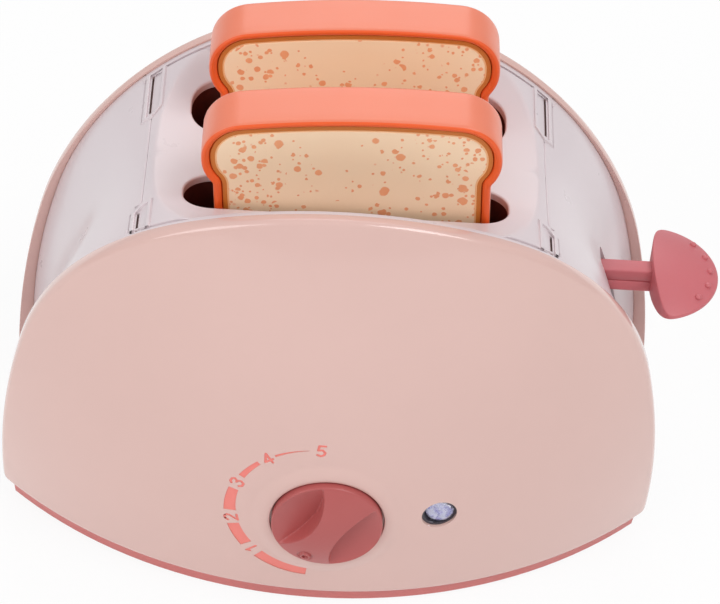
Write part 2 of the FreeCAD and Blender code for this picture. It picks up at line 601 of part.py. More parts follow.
# ================================================================ base
def base_plate():
    """The plinth with the battery box, the rods' sockets and the board's rails."""
    reach = 2 * HALF_WIDTH
    base = casing(-BASE_LIP).common(block(-reach, reach, -reach, reach, 0, TOP)).common(lens(BASE_LIP))
    parts = [base]
    parts.append(block(-BOX_HALF_X - BOX_WALL, BOX_HALF_X + BOX_WALL, -BOX_HALF_Y - BOX_WALL,
                       BOX_HALF_Y + BOX_WALL, 0, BOX_TOP + BOX_WALL))
    door_hole = Vector(0, DOOR_SCREW_Y, DOOR_THICKNESS)
    parts.append(cyl(BOSS_DIAMETER / 2, DOOR_BOSS_HEIGHT, door_hole))
    for place in rod_places():
        parts.append(cyl(SLEEVE_DIAMETER / 2 + SOCKET_WALL, ROD_SEAT, place + Vector(0, 0, TOP)))
    pillar = MAGNET_TOP - MAGNET_HEIGHT - TOP
    parts.append(cyl(MAGNET_DIAMETER / 2 + MAGNET_SEAT, pillar, Vector(ROD_X, 0, TOP)))
    rail = (BOARD_LENGTH - BOARD_RAIL) / 2
    for x in (BOARD_X - rail, BOARD_X + rail):
        parts.append(block(x - BOARD_RAIL / 2, x + BOARD_RAIL / 2, -BOARD_Y - BOARD_RAIL_DEPTH / 2,
                           -BOARD_Y + BOARD_RAIL_DEPTH / 2, TOP, BOARD_BOTTOM + BOARD_RAIL_HOLD))
    base = fuse(parts)
    base = base.cut(block(-BOX_HALF_X, BOX_HALF_X, -BOX_HALF_Y, BOX_HALF_Y, 0, BOX_TOP))
    base = base.cut(door_outline(DOOR_GAP, 0, DOOR_THICKNESS))
    base = base.cut(cyl(SCREW_DIAMETER / 2, DOOR_SCREW_LENGTH, door_hole))
    for place in rod_places():
        base = base.cut(cyl(ROD_DIAMETER / 2 + SEAT_CLEARANCE, ROD_SEAT, place + Vector(0, 0, TOP)))
    length = BOARD_LENGTH / 2 + SEAT_CLEARANCE
    width = BOARD_THICKNESS / 2 + SEAT_CLEARANCE
    base = base.cut(block(BOARD_X - length, BOARD_X + length, -BOARD_Y - width, -BOARD_Y + width,
                          BOARD_BOTTOM, BOARD_BOTTOM + OVER))
    for place in foot_places():
        base = base.cut(cyl(FOOT_DIAMETER / 2, FOOT_SINK, place))
    for place in base_screw_places():
        base = base.cut(cyl(SCREW_DIAMETER / 2, TOP, place))
        base = base.cut(cyl(SCREW_HEAD / 2, SCREW_HEAD_HEIGHT, place))
    for ring in range(3):
        for turn in range(max(1, 6 * ring)):
            x, y = rim(turn * 60 / max(1, ring), (SPEAKER_X, 0), SOUND_HOLE_PITCH * ring)
            base = base.cut(cyl(SOUND_HOLE_RADIUS, TOP, Vector(x, y, 0)))
    return base


def door_outline(margin, z0, z1):
    """The battery door's outline: a rectangle with a tab for its screw."""
    door = block(-BOX_HALF_X - DOOR_MARGIN - margin, BOX_HALF_X + DOOR_MARGIN + margin,
                 -BOX_HALF_Y - DOOR_MARGIN - margin, BOX_HALF_Y + DOOR_MARGIN + margin, z0, z1)
    half = DOOR_TAB_HALF + margin
    tab = block(-half, half, 0, DOOR_SCREW_Y + DOOR_TAB_END + margin, z0, z1)
    return fuse([door, tab])


def battery_door():
    """The door with its bearing pad and a countersunk tab."""
    pad = cyl(DOOR_PAD_DIAMETER / 2, FOOT_PROUD, Vector(0, 0, -FOOT_PROUD))
    door = fuse([door_outline(0, 0, DOOR_THICKNESS), pad])
    hole = Vector(0, DOOR_SCREW_Y, 0)
    door = door.cut(cyl(SCREW_DIAMETER / 2 + SCREW_CLEARANCE, DOOR_THICKNESS, hole))
    return door.cut(cyl(SCREW_HEAD / 2 + SCREW_CLEARANCE, DOOR_SCREW_SINK, hole))


def foot_places():
    """Where the four feet stand."""
    return [Vector(x, y, 0) for x in (-FOOT_X, FOOT_X) for y in (-FOOT_Y, FOOT_Y)]


def base_screw_places():
    """Where the four screws enter from below."""
    return [Vector(x, y, 0) for x in (-SHELL_BOSS_X, SHELL_BOSS_X) for y in (-SHELL_BOSS_Y, SHELL_BOSS_Y)]


def cell_places():
    """The middles of the three cells, lying along X."""
    first = -(CELL_COUNT - 1) / 2
    return [(first + index) * CELL_PITCH for index in range(CELL_COUNT)]


def battery_cells():
    """Three cells side by side, every second one turned round."""
    cells = []
    for index, y in enumerate(cell_places()):
        turn = 1 if index % 2 == 0 else -1
        start = Vector(-turn * CELL_LENGTH / 2, y, CELL_Z)
        body = cyl(CELL_DIAMETER / 2, CELL_LENGTH - CELL_TIP_LENGTH, start, Vector(turn, 0, 0))
        tip = cyl(CELL_TIP_DIAMETER / 2, CELL_LENGTH, start, Vector(turn, 0, 0))
        cells.append(body.fuse(tip).removeSplitter())
    return Part.makeCompound(cells)


def battery_contacts():
    """Contact plates on the box's end walls with a spring cup at each cell's flat end."""
    pieces = []
    for index, y in enumerate(cell_places()):
        turn = 1 if index % 2 == 0 else -1
        for end in (-1, 1):
            wall = end * BOX_HALF_X
            ends = sorted((wall, wall - end * CONTACT_THICKNESS))
            plate = block(ends[0], ends[1], y - CONTACT_HALF, y + CONTACT_HALF,
                          CELL_Z - CONTACT_HALF, CELL_Z + CONTACT_HALF)
            start = Vector(wall - end * CONTACT_THICKNESS, y, CELL_Z)
            radius = CONTACT_SPRING_RADIUS if end == -turn else CONTACT_BUMP_RADIUS
            bump = cyl(radius, BOX_END_ROOM - CONTACT_THICKNESS, start, Vector(-end, 0, 0))
            pieces.append(plate.fuse(bump).removeSplitter())
    return Part.makeCompound(pieces)


def speaker():
    """A round speaker standing on the base over its sound holes."""
    at = Vector(SPEAKER_X, 0, TOP)
    flange = cyl(SPEAKER_DIAMETER / 2, SPEAKER_FLANGE, at)
    magnet_foot = SPEAKER_HEIGHT - SPEAKER_MAGNET_HEIGHT
    basket = Part.makeCone(SPEAKER_DIAMETER / 2 - 1, SPEAKER_MAGNET_RADIUS, magnet_foot - SPEAKER_FLANGE,
                           at + Vector(0, 0, SPEAKER_FLANGE))
    magnet = cyl(SPEAKER_MAGNET_RADIUS, SPEAKER_MAGNET_HEIGHT, at + Vector(0, 0, magnet_foot))
    body = fuse([flange, basket, magnet])
    mouth = SPEAKER_DIAMETER / 2 - SPEAKER_RIM
    return body.cut(Part.makeCone(mouth, SPEAKER_CONE_RADIUS, SPEAKER_CONE_DEPTH, at))


def circuit_board():
    """The board with its chip and two capacitors."""
    face = -BOARD_Y + BOARD_THICKNESS / 2
    parts = [block(BOARD_X - BOARD_LENGTH / 2, BOARD_X + BOARD_LENGTH / 2, face - BOARD_THICKNESS, face,
                   BOARD_BOTTOM, BOARD_BOTTOM + BOARD_HEIGHT)]
    middle = BOARD_BOTTOM + BOARD_HEIGHT / 2
    length, depth, height = CHIP_SIZE
    parts.append(block(BOARD_X - length / 2, BOARD_X + length / 2, face, face + depth,
                       middle - height / 2, middle + height / 2))
    for x in (BOARD_X - CAPACITOR_OFFSET, BOARD_X + CAPACITOR_OFFSET):
        parts.append(cyl(CAPACITOR_RADIUS, CAPACITOR_HEIGHT, Vector(x, face, middle), -FRONT))
    return fuse(parts)


# ================================================================ well, rods, springs
def bread_well():
    """Two open-topped pockets under the slots, with gaps in the end wall for the trays."""
    room = CASING_IN.cut(trough(WALL)).common(lens(FRAME_INNER + TONGUE_LENGTH + SEAT_CLEARANCE))
    plate = room.cut(casing(WALL + WELL_WALL).cut(trough(WALL + WELL_WALL)))
    plate = plate.common(block(-WELL_OUT_X, WELL_OUT_X, -WELL_OUT_Y, WELL_OUT_Y, BODY_HEIGHT / 2,
                               BODY_HEIGHT))
    around = WELL_MARGIN + WELL_WALL
    pockets = [slot_prism(y, around, WELL_FLOOR, BODY_HEIGHT).common(room) for y in SLOT_PLACES]
    well = fuse([plate] + pockets)
    inner_floor = WELL_FLOOR + WELL_WALL
    gap = TRAY_WIDTH / 2 + FREE_CLEARANCE
    for y in SLOT_PLACES:
        well = well.cut(slot_prism(y, WELL_MARGIN, inner_floor, BODY_HEIGHT + OVER))
        well = well.cut(block(0, WELL_OUT_X + 1, y - gap, y + gap, inner_floor, TRAY_TOP + 1))
    return well


def guide_rods():
    """Two upright rods between the base and the cover."""
    upright = Vector(0, 0, TOP)
    rods = [cyl(ROD_DIAMETER / 2, ROD_TOP - TOP, place + upright) for place in rod_places()]
    return Part.makeCompound(rods)


def lift_springs():
    """Two coil springs round the rods, under the carriage."""
    springs = []
    low = TOP + ROD_SEAT
    height = YOKE_BOTTOM - low - SPRING_WIRE
    radius = (SPRING_DIAMETER - SPRING_WIRE) / 2
    helix = Part.makeHelix(height / SPRING_TURNS, height, radius)
    ring = Part.makeCircle(SPRING_WIRE / 2, Vector(radius, 0, 0), Vector(0, 1, 0))
    coil = Part.Wire(helix.Edges).makePipeShell([Part.Wire([ring])], True, True)
    for place in rod_places():
        spring = coil.copy()
        spring.translate(place + Vector(0, 0, low + SPRING_WIRE / 2))
        springs.append(spring)
    return Part.makeCompound(springs)


# ================================================================ carriage, lever
def bread_carriage():
    """The two trays, the yoke and its sleeves, in one moulding."""
    high = YOKE_BOTTOM + YOKE_HEIGHT
    parts = [block(YOKE_X, YOKE_OUT, -YOKE_HALF_WIDTH, YOKE_HALF_WIDTH, YOKE_BOTTOM, high)]
    for place in rod_places():
        parts.append(cyl(SLEEVE_DIAMETER / 2, YOKE_HEIGHT, place + Vector(0, 0, YOKE_BOTTOM)))
    for y in SLOT_PLACES:
        parts.append(block(-TRAY_END_X, YOKE_OUT, y - TRAY_WIDTH / 2, y + TRAY_WIDTH / 2,
                           TRAY_TOP - TRAY_THICKNESS, TRAY_TOP))
    carriage = fuse(parts)
    bore = ROD_DIAMETER / 2 + RUN_CLEARANCE
    for place in rod_places():
        carriage = carriage.cut(cyl(bore, YOKE_HEIGHT, place + Vector(0, 0, YOKE_BOTTOM)))
    return carriage


def lever_arm():
    """The arm from the yoke to the knob, grooved along its front."""
    z0 = LEVER_HEIGHT - LEVER_DEPTH / 2
    z1 = LEVER_HEIGHT + LEVER_DEPTH / 2
    arm = block(YOKE_OUT, KNOB_X, -LEVER_WIDTH / 2, LEVER_WIDTH / 2, z0, z1)
    along = [e for e in arm.Edges if abs(e.tangentAt(e.FirstParameter).x) > 0.9]
    arm = arm.makeFillet(LEVER_ROUND, along)
    half = LEVER_LINE / 2
    for side in (-1, 1):
        line = block(YOKE_OUT + LEVER_LINE_START, KNOB_X - 1, -half, half,
                     LEVER_HEIGHT - half, LEVER_HEIGHT + half)
        line.translate(Vector(0, side * LEVER_WIDTH / 2, 0))
        arm = arm.cut(line)
    flange = block(YOKE_OUT, YOKE_OUT + LEVER_FLANGE_THICKNESS, -LEVER_FLANGE / 2, LEVER_FLANGE / 2,
                   z0, z1)
    return fuse([arm, flange, lever_tenon()])


def lever_tenon():
    """The arm's end inside the knob."""
    half = LEVER_TENON_DEPTH / 2
    return block(KNOB_X - 1, KNOB_X + LEVER_TENON, -LEVER_WIDTH / 2, LEVER_WIDTH / 2,
                 LEVER_HEIGHT - half, LEVER_HEIGHT + half)


def lever_knob():
    """Half a lens lying flat, with five dots on its top."""
    low = KNOB_MIDDLE - KNOB_RIM / 2 - KNOB_KEEL
    high = KNOB_MIDDLE + KNOB_RIM / 2 + KNOB_CROWN
    knob = cyl(KNOB_RADIUS, high - low, Vector(KNOB_X, 0, low))
    knob = knob.common(cyl(KNOB_BACK_RADIUS, high - low, Vector(KNOB_X + KNOB_BACK_RADIUS, 0, low)))
    corners = [e for e in knob.Edges if abs(e.tangentAt(e.FirstParameter).z) > 0.9
               and abs(e.CenterOfMass.y) > KNOB_RADIUS / 2]
    knob = knob.makeFillet(KNOB_CORNER, corners)
    upper = (KNOB_RADIUS ** 2 + KNOB_CROWN ** 2) / (2 * KNOB_CROWN)
    lower = (KNOB_RADIUS ** 2 + KNOB_KEEL ** 2) / (2 * KNOB_KEEL)
    crown = Part.makeSphere(upper, Vector(KNOB_X, 0, high - upper))
    knob = knob.common(crown).common(Part.makeSphere(lower, Vector(KNOB_X, 0, low + lower)))
    fall = upper - math.sqrt(upper ** 2 - KNOB_DOT_RADIUS ** 2)
    for step in range(-2, 3):
        x, y = rim(step * KNOB_DOT_STEP, (KNOB_X, 0), KNOB_DOT_RADIUS)
        dot = cyl(KNOB_DOT_DIAMETER / 2, 1 + KNOB_DOT_PROUD, Vector(x, y, high - fall - 1))
        knob = knob.fuse(dot)
    return knob.removeSplitter().cut(lever_tenon())


def keeper_plate():
    """The steel plate under the yoke that meets the magnet."""
    return block(ROD_X - KEEPER_WIDTH / 2, ROD_X + KEEPER_WIDTH / 2, -KEEPER_LENGTH / 2,
                 KEEPER_LENGTH / 2, YOKE_BOTTOM - KEEPER_THICKNESS, YOKE_BOTTOM)


# ================================================================ slices
def slice_outline(inset):
    """The face of a slice standing on the origin, moved inwards by inset."""
    half = SLICE_HALF_WIDTH - inset
    lobe = LOBE_RADIUS - inset
    neck = SLICE_NECK_ROUND + inset
    foot = SLICE_FOOT_ROUND - inset
    drop = math.sqrt((SLICE_TOP_RADIUS - LOBE_RADIUS) ** 2 - LOBE_CENTRE_X ** 2)
    upper = SLICE_HEIGHT - SLICE_TOP_RADIUS + drop
    lower = upper - LOBE_DROP
    shoulder_angle = math.degrees(math.atan2(drop, LOBE_CENTRE_X))
    neck_x = half + neck
    fall = math.sqrt((lobe + neck) ** 2 - (neck_x - LOBE_CENTRE_X) ** 2)
    neck_angle = math.degrees(math.atan2(-fall, neck_x - LOBE_CENTRE_X))
    lobe_x = LOBE_CENTRE_X + lobe
    foot_x = half - foot
    foot_z = inset + foot
    right = [
        Part.LineSegment(Vector(0, 0, inset), Vector(foot_x, 0, inset)).toShape(),
        arc((foot_x, foot_z), foot, -90, 0, 0),
        Part.LineSegment(Vector(half, 0, foot_z), Vector(half, 0, lower - fall)).toShape(),
        arc((neck_x, lower - fall), neck, 180, 180 + neck_angle, 0),
        arc((LOBE_CENTRE_X, lower), lobe, neck_angle, 0, 0),
        Part.LineSegment(Vector(lobe_x, 0, lower), Vector(lobe_x, 0, upper)).toShape(),
        arc((LOBE_CENTRE_X, upper), lobe, 0, shoulder_angle, 0),
        arc((0, SLICE_HEIGHT - SLICE_TOP_RADIUS), SLICE_TOP_RADIUS - inset, shoulder_angle, 90, 0),
    ]
    left = [mirrored(edge) for edge in right]
    return Part.Face(Part.Wire(Part.__sortEdges__(right + left)))


def placed_slice(shape, side):
    """A slice standing askew on its tray: side is -1 in the front slot, 1 in the back one."""
    lean = math.radians(SLICE_LEAN)
    tilt = math.radians(SLICE_TILT[side])
    lift = math.sin(lean) * (SLICE_HALF_WIDTH - SLICE_FOOT_ROUND)
    lift += (1 - math.cos(lean)) * SLICE_FOOT_ROUND + SLICE_SEAT_ROOM
    lift += (TRAY_WIDTH / 2 + abs(SLICE_TILT_SHIFT[side])) * abs(math.tan(tilt))
    turned = shape.copy()
    turned.rotate(Vector(0, 0, 0), Vector(0, 1, 0), -SLICE_LEAN)
    turned.rotate(Vector(0, 0, 0), Vector(1, 0, 0), SLICE_TILT[side])
    foot_y = side * SLOT_SPACING / 2 + SLICE_TILT_SHIFT[side]
    turned.translate(Vector(SLICE_SHIFT, foot_y, TRAY_TOP + lift))
    return turned


def slice_crust():
    """The crust: a rounded band all round the slice."""
    band = slice_outline(0).extrude(Vector(0, SLICE_THICKNESS, 0))
    band.translate(Vector(0, -SLICE_THICKNESS / 2, 0))
    flat = [e for e in band.Edges if e.BoundBox.YLength < SLICE_THICKNESS / 2]
    band = band.makeFillet(CRUST_EDGE_ROUND, flat)
    hole = slice_outline(CRUST_WALL).extrude(Vector(0, SLICE_THICKNESS * 2, 0))
    hole.translate(Vector(0, -SLICE_THICKNESS, 0))
    return band.cut(hole)


def slice_crumb():
    """The crumb: fills the crust a little behind its edges."""
    depth = SLICE_THICKNESS - 2 * BREAD_RECESS
    crumb = slice_outline(CRUST_WALL).extrude(Vector(0, depth, 0))
    crumb.translate(Vector(0, -depth / 2, 0))
    return crumb


# ================================================================ dial, lamp, scale
def lamp_cup():
    """The dark cup in the panel that holds the lens and the lamp."""
    at = Vector(LAMP_X, -LAMP_CUP_BACK, LAMP_HEIGHT)
    cup = cyl(LAMP_RADIUS, BELLY_DEPTH, at, FRONT).common(barrel(LAMP_RECESS, -1))
    cup = cup.cut(cyl(LAMP_RADIUS - LAMP_CUP_WALL, BELLY_DEPTH, at + FRONT, FRONT))
    return cup.cut(cyl(LED_RADIUS, OVER, at, FRONT))


def lamp_lens():
    """The clear lens, gently domed."""
    radius = LAMP_RADIUS - LAMP_CUP_WALL
    ball = (radius ** 2 + LENS_DOME ** 2) / (2 * LENS_DOME)
    disc = cyl(radius, OVER, Vector(LAMP_X, -LENS_BACK, LAMP_HEIGHT), FRONT)
    return disc.common(Part.makeSphere(ball, Vector(LAMP_X, ball - LENS_EDGE - LENS_DOME, LAMP_HEIGHT)))


def led():
    """The small lamp behind the lens, with its two leads."""
    back = LED_LENGTH + LED_ROOM - LENS_BACK
    body = cyl(LED_RADIUS, LED_LENGTH - LED_RADIUS, Vector(LAMP_X, back, LAMP_HEIGHT), FRONT)
    dome = Part.makeSphere(LED_RADIUS, Vector(LAMP_X, back + LED_RADIUS - LED_LENGTH, LAMP_HEIGHT))
    parts = [body, dome]
    for side in (-1, 1):
        at = Vector(LAMP_X + side * LED_LEAD_PITCH / 2, back - LED_LEAD_SINK, LAMP_HEIGHT)
        parts.append(cyl(LED_LEAD_RADIUS, LED_LEAD_LENGTH, at, -FRONT))
    return fuse(parts)


def scale_bar(start, end, width, end_width):
    """One bar of the scale, bent round the dial, as a prism along Y."""
    middle = (width + end_width) / 2
    edges = []
    for sign in (-1, 1):
        points = [rim(start, (0, 0), SCALE_RADIUS + sign * width / 2),
                  rim((start + end) / 2, (0, 0), SCALE_RADIUS + sign * middle / 2),
                  rim(end, (0, 0), SCALE_RADIUS + sign * end_width / 2)]
        edges.append([Vector(x + SCALE_X, 0, z + DIAL_HEIGHT + SCALE_RISE) for x, z in points])
    inner, outer = edges
    wire = Part.Wire([Part.Arc(*inner).toShape(), Part.LineSegment(inner[2], outer[2]).toShape(),
                      Part.Arc(*outer[::-1]).toShape(), Part.LineSegment(outer[0], inner[0]).toShape()])
    return Part.Face(wire).extrude(FRONT * (2 * BELLY_DEPTH))


def digit(strokes, angle):
    """One digit of the scale, its top pointing away from the dial, as a prism along Y."""
    half = DIGIT_STROKE / 2
    parts = []
    points = [(DIGIT_HALF * x, DIGIT_HALF * z) for x, z in strokes]
    for (x0, z0), (x1, z1) in zip(points, points[1:]):
        run = math.hypot(x1 - x0, z1 - z0)
        bar = block(0, run, -2 * BELLY_DEPTH, 0, -half, half)
        bar.rotate(Vector(0, 0, 0), Vector(0, -1, 0), math.degrees(math.atan2(z1 - z0, x1 - x0)))
        bar.translate(Vector(x0, 0, z0))
        parts.append(bar)
    for x, z in points:
        parts.append(cyl(half, 2 * BELLY_DEPTH, Vector(x, 0, z), FRONT))
    shape = fuse(parts)
    shape.translate(Vector(0, 0, SCALE_RADIUS))
    shape.rotate(Vector(0, 0, 0), Vector(0, -1, 0), angle - 90)
    shape.translate(Vector(SCALE_X, 0, DIAL_HEIGHT + SCALE_RISE))
    return shape


def scale_prisms():
    """All bars and digits of the scale as prisms."""
    bars = [scale_bar(*bar) for bar in SCALE_BARS]
    return bars + [digit(strokes, angle) for strokes, angle in zip(DIGIT_STROKES, DIGIT_ANGLES)]


def scale_marks(prisms):
    """The bars and digits that lie in the panel's pockets."""
    plate = barrel(SCALE_SINK, -1).cut(barrel(SCALE_POCKET, -1))
    return Part.makeCompound([prism.common(plate) for prism in prisms])


def dial_knob():
    """A domed knob with two scoops that leave a grip, and a round pointer."""
    ball = (DIAL_RADIUS ** 2 + DIAL_DOME ** 2) / (2 * DIAL_DOME)
    seat = DIAL_SEAT + FREE_CLEARANCE
    tip = DIAL_FACE + DIAL_DOME
    disc = cyl(DIAL_RADIUS, tip - seat, Vector(0, -seat, 0), FRONT)
    dial = disc.common(Part.makeSphere(ball, Vector(0, ball - tip, 0)))
    for side in (-1, 1):
        x, z = rim(DIAL_POINTER_ANGLE + side * 90, (0, 0), DIAL_RIB / 2 + DIAL_SCOOP_RADIUS)
        floor = Vector(x, DIAL_SCOOP_DEPTH - tip, z)
        dial = dial.cut(cyl(DIAL_SCOOP_RADIUS, DIAL_SCOOP_DEPTH + OVER, floor, FRONT))
    x, z = rim(DIAL_POINTER_ANGLE, (0, 0), DIAL_RADIUS - DIAL_RING_INSET)
    root = (seat + tip - DIAL_SCOOP_DEPTH) / 2
    ring = cyl(DIAL_RING_RADIUS, DIAL_FACE + DIAL_RING_PROUD - root, Vector(x, -root, z), FRONT)
    dial = dial.fuse(ring).removeSplitter()
    bore = cyl(DIAL_SHAFT_DIAMETER / 2 + SEAT_CLEARANCE, DIAL_FACE - DIAL_SEAT - DIAL_FRONT_WALL,
               Vector(0, -DIAL_SEAT, 0), FRONT)
    dial = dial.cut(bore)
    dial.translate(Vector(0, 0, DIAL_HEIGHT))
    return dial


def dial_shaft():
    """The dial's shaft with the toothed click wheel on it."""
    tip = DIAL_FACE - DIAL_FRONT_WALL - SHAFT_TIP_ROOM
    shaft = cyl(DIAL_SHAFT_DIAMETER / 2, tip - SHAFT_TIP, Vector(0, -SHAFT_TIP, 0), FRONT)
    middle = CLICK_BOX_FRONT - CLICK_BOX_DEPTH / 2
    back = CLICK_WHEEL_WIDTH / 2 - middle
    wheel = cyl(CLICK_WHEEL_RADIUS, CLICK_WHEEL_WIDTH, Vector(0, back, 0), FRONT)
    for tooth in range(CLICK_TEETH):
        x, z = rim(tooth * 360 / CLICK_TEETH, (0, 0), CLICK_WHEEL_RADIUS)
        wheel = wheel.cut(cyl(CLICK_TOOTH_RADIUS, CLICK_WHEEL_WIDTH, Vector(x, back, z), FRONT))
    shape = fuse([shaft, wheel])
    shape.translate(Vector(0, 0, DIAL_HEIGHT))
    return shape


def click_box():
    """The switch housing behind the dial, with two ears."""
    half = CLICK_BOX_SIZE / 2
    room = half - CLICK_BOX_WALL
    front = -CLICK_BOX_FRONT
    back = front + CLICK_BOX_DEPTH
    box = block(-half, half, front, back, -half, half)
    ear = CLICK_EAR_X + CLICK_EAR_END
    ears = block(-ear, ear, front, front + CLICK_EAR_THICKNESS, -CLICK_EAR_END, CLICK_EAR_END)
    box = fuse([box, ears]).cut(block(-room, room, front + CLICK_BOX_WALL, back, -room, room))
    bore = cyl(DIAL_SHAFT_DIAMETER / 2 + RUN_CLEARANCE, CLICK_BOX_DEPTH, Vector(0, back, 0), FRONT)
    box = box.cut(bore)
    for x in (-CLICK_EAR_X, CLICK_EAR_X):
        hole = cyl(SCREW_DIAMETER / 2 + SCREW_CLEARANCE, CLICK_BOX_DEPTH, Vector(x, back, 0), FRONT)
        box = box.cut(hole)
    box.translate(Vector(0, 0, DIAL_HEIGHT))
    return box


def click_cover():
    """The lid that closes the switch housing and carries the shaft's inner end."""
    half = CLICK_BOX_SIZE / 2 - CLICK_BOX_WALL
    back = CLICK_BOX_DEPTH - CLICK_BOX_FRONT
    lid = block(-half, half, back - CLICK_BOX_WALL, back, -half, half)
    bore = cyl(DIAL_SHAFT_DIAMETER / 2 + RUN_CLEARANCE, CLICK_BOX_WALL, Vector(0, back, 0), FRONT)
    lid = lid.cut(bore)
    lid.translate(Vector(0, 0, DIAL_HEIGHT))
    return lid


def front_panel(prisms):
    """The panel with the dial's seat, the lamp's hole, the scale's pockets and two posts."""
    shape = panel(-1)
    seat = cyl(DIAL_RADIUS + FREE_CLEARANCE, BELLY_DEPTH, Vector(0, -DIAL_SEAT, DIAL_HEIGHT), FRONT)
    shape = shape.cut(seat)
    posts = [Vector(x, -CLICK_BOX_FRONT, DIAL_HEIGHT) for x in (-CLICK_EAR_X, CLICK_EAR_X)]
    for place in posts:
        post = cyl(BOSS_DIAMETER / 2, BELLY_DEPTH, place, FRONT)
        shape = shape.fuse(post.common(barrel(PANEL_THICKNESS / 2, -1)))
    shape = shape.removeSplitter()
    for place in posts:
        shape = shape.cut(cyl(SCREW_DIAMETER / 2, CLICK_POST_HOLE, place, FRONT))
    bore = DIAL_SHAFT_DIAMETER / 2 + FREE_CLEARANCE
    shape = shape.cut(cyl(bore, 2 * BELLY_DEPTH, Vector(0, 0, DIAL_HEIGHT), FRONT))
    shape = shape.cut(cyl(LAMP_RADIUS, 2 * BELLY_DEPTH, Vector(LAMP_X, 0, LAMP_HEIGHT), FRONT))
    plate = barrel(-1, -1).cut(barrel(SCALE_POCKET, -1))
    return shape.cut([prism.common(plate) for prism in prisms])


def base_screws():
    """The four screws that hold the side shells from below."""
    sunk = Vector(0, 0, SCREW_HEAD_HEIGHT)
    return [screw(place + sunk, Vector(0, 0, 1), BASE_SCREW_LENGTH) for place in base_screw_places()]


def switch_screws():
    """The two screws through the switch housing's ears."""
    y = CLICK_EAR_THICKNESS - CLICK_BOX_FRONT
    return [screw(Vector(x, y, DIAL_HEIGHT), FRONT, CLICK_SCREW_LENGTH) for x in (-CLICK_EAR_X, CLICK_EAR_X)]


def rubber_feet():
    """Four round feet let into the base."""
    low = Vector(0, 0, -FOOT_PROUD)
    return [cyl(FOOT_DIAMETER / 2, FOOT_SINK + FOOT_PROUD, place + low) for place in foot_places()]


# ================================================================ assembly
clips = seam_clips()
marks = scale_prisms()
door_screw = screw(Vector(0, DOOR_SCREW_Y, DOOR_SCREW_SINK), Vector(0, 0, 1), DOOR_SCREW_LENGTH)
magnet = cyl(MAGNET_DIAMETER / 2, MAGNET_HEIGHT, Vector(ROD_X, 0, MAGNET_TOP - MAGNET_HEIGHT))

save("front_panel", front_panel(marks))
save("back_panel", panel(1))
save("front_trim_frame", trim_frame(-1))
save("back_trim_frame", trim_frame(1))
save("top_cover", top_cover().cut(clips))
save("left_side_shell", side_shell(-1).cut(clips))
save("right_side_shell", side_shell(1).cut(clips))
save("seam_clips", Part.makeCompound(clips))
save("base_plate", base_plate())
save("rubber_feet", Part.makeCompound(rubber_feet()))
save("battery_door", battery_door())
save("battery_door_screw", door_screw)
save("base_screws", Part.makeCompound(base_screws()))
save("battery_cells", battery_cells())
save("battery_contacts", battery_contacts())
save("speaker", speaker())
save("circuit_board", circuit_board())
save("bread_well", bread_well())
save("guide_rods", guide_rods())
save("lift_springs", lift_springs())
save("hold_magnet", magnet)
save("bread_carriage", bread_carriage())
save("keeper_plate", keeper_plate())
save("lever_arm", lever_arm())
save("lever_knob", lever_knob())
save("dial_knob", dial_knob())
save("dial_shaft", dial_shaft())
save("click_box", click_box())
save("click_cover", click_cover())
save("switch_screws", Part.makeCompound(switch_screws()))
save("lamp_cup", lamp_cup())
save("lamp_lens", lamp_lens())
save("led", led())
save("scale_marks", scale_marks(marks))
for name, side in (("front", -1), ("back", 1)):
    save(name + "_slice_crust", placed_slice(slice_crust(), side))
    save(name + "_slice_crumb", placed_slice(slice_crumb(), side))
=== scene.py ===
# %% [markdown]
# # A toy toaster, piece by piece
# The CAD model gives every piece its place and size. This lesson loads it as a fixed frame,
# then dresses it: the pieces that show get smooth meshes of their own, and the hidden ones keep
# their CAD shape and get a finish. All lengths below are in millimetres until the mesh is made,
# because the toaster was drawn in millimetres.

# %% Load the frame
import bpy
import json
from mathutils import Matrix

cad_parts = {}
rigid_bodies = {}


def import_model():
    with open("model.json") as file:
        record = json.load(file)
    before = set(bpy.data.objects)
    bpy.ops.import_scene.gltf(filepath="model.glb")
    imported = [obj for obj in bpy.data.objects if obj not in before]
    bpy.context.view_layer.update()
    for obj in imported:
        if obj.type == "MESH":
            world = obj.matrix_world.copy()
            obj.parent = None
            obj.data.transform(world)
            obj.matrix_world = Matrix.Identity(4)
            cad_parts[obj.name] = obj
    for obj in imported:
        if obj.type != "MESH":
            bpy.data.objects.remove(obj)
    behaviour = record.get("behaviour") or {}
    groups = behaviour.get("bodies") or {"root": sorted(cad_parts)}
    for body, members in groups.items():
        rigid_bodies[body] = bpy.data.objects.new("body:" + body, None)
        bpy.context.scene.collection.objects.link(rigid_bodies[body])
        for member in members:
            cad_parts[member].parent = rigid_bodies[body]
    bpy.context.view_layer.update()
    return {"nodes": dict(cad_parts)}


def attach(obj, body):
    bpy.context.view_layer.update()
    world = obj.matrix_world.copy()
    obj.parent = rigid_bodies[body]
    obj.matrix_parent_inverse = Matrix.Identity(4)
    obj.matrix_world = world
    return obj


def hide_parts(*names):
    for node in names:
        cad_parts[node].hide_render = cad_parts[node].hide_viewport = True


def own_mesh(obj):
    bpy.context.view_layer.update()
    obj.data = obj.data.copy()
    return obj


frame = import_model()

import json
import math

import bmesh
import bpy
import numpy as np
from mathutils import Matrix, Vector

# %% [markdown]
# ## Sizes that the shapes share
# The front outline is three arcs on each side: a wide crown, a shoulder and a long side. The
# panels bulge like a slice of a barrel. The same few numbers drive the panels, the white casing
# and everything that sits on them, so the pieces meet without fitting by eye.

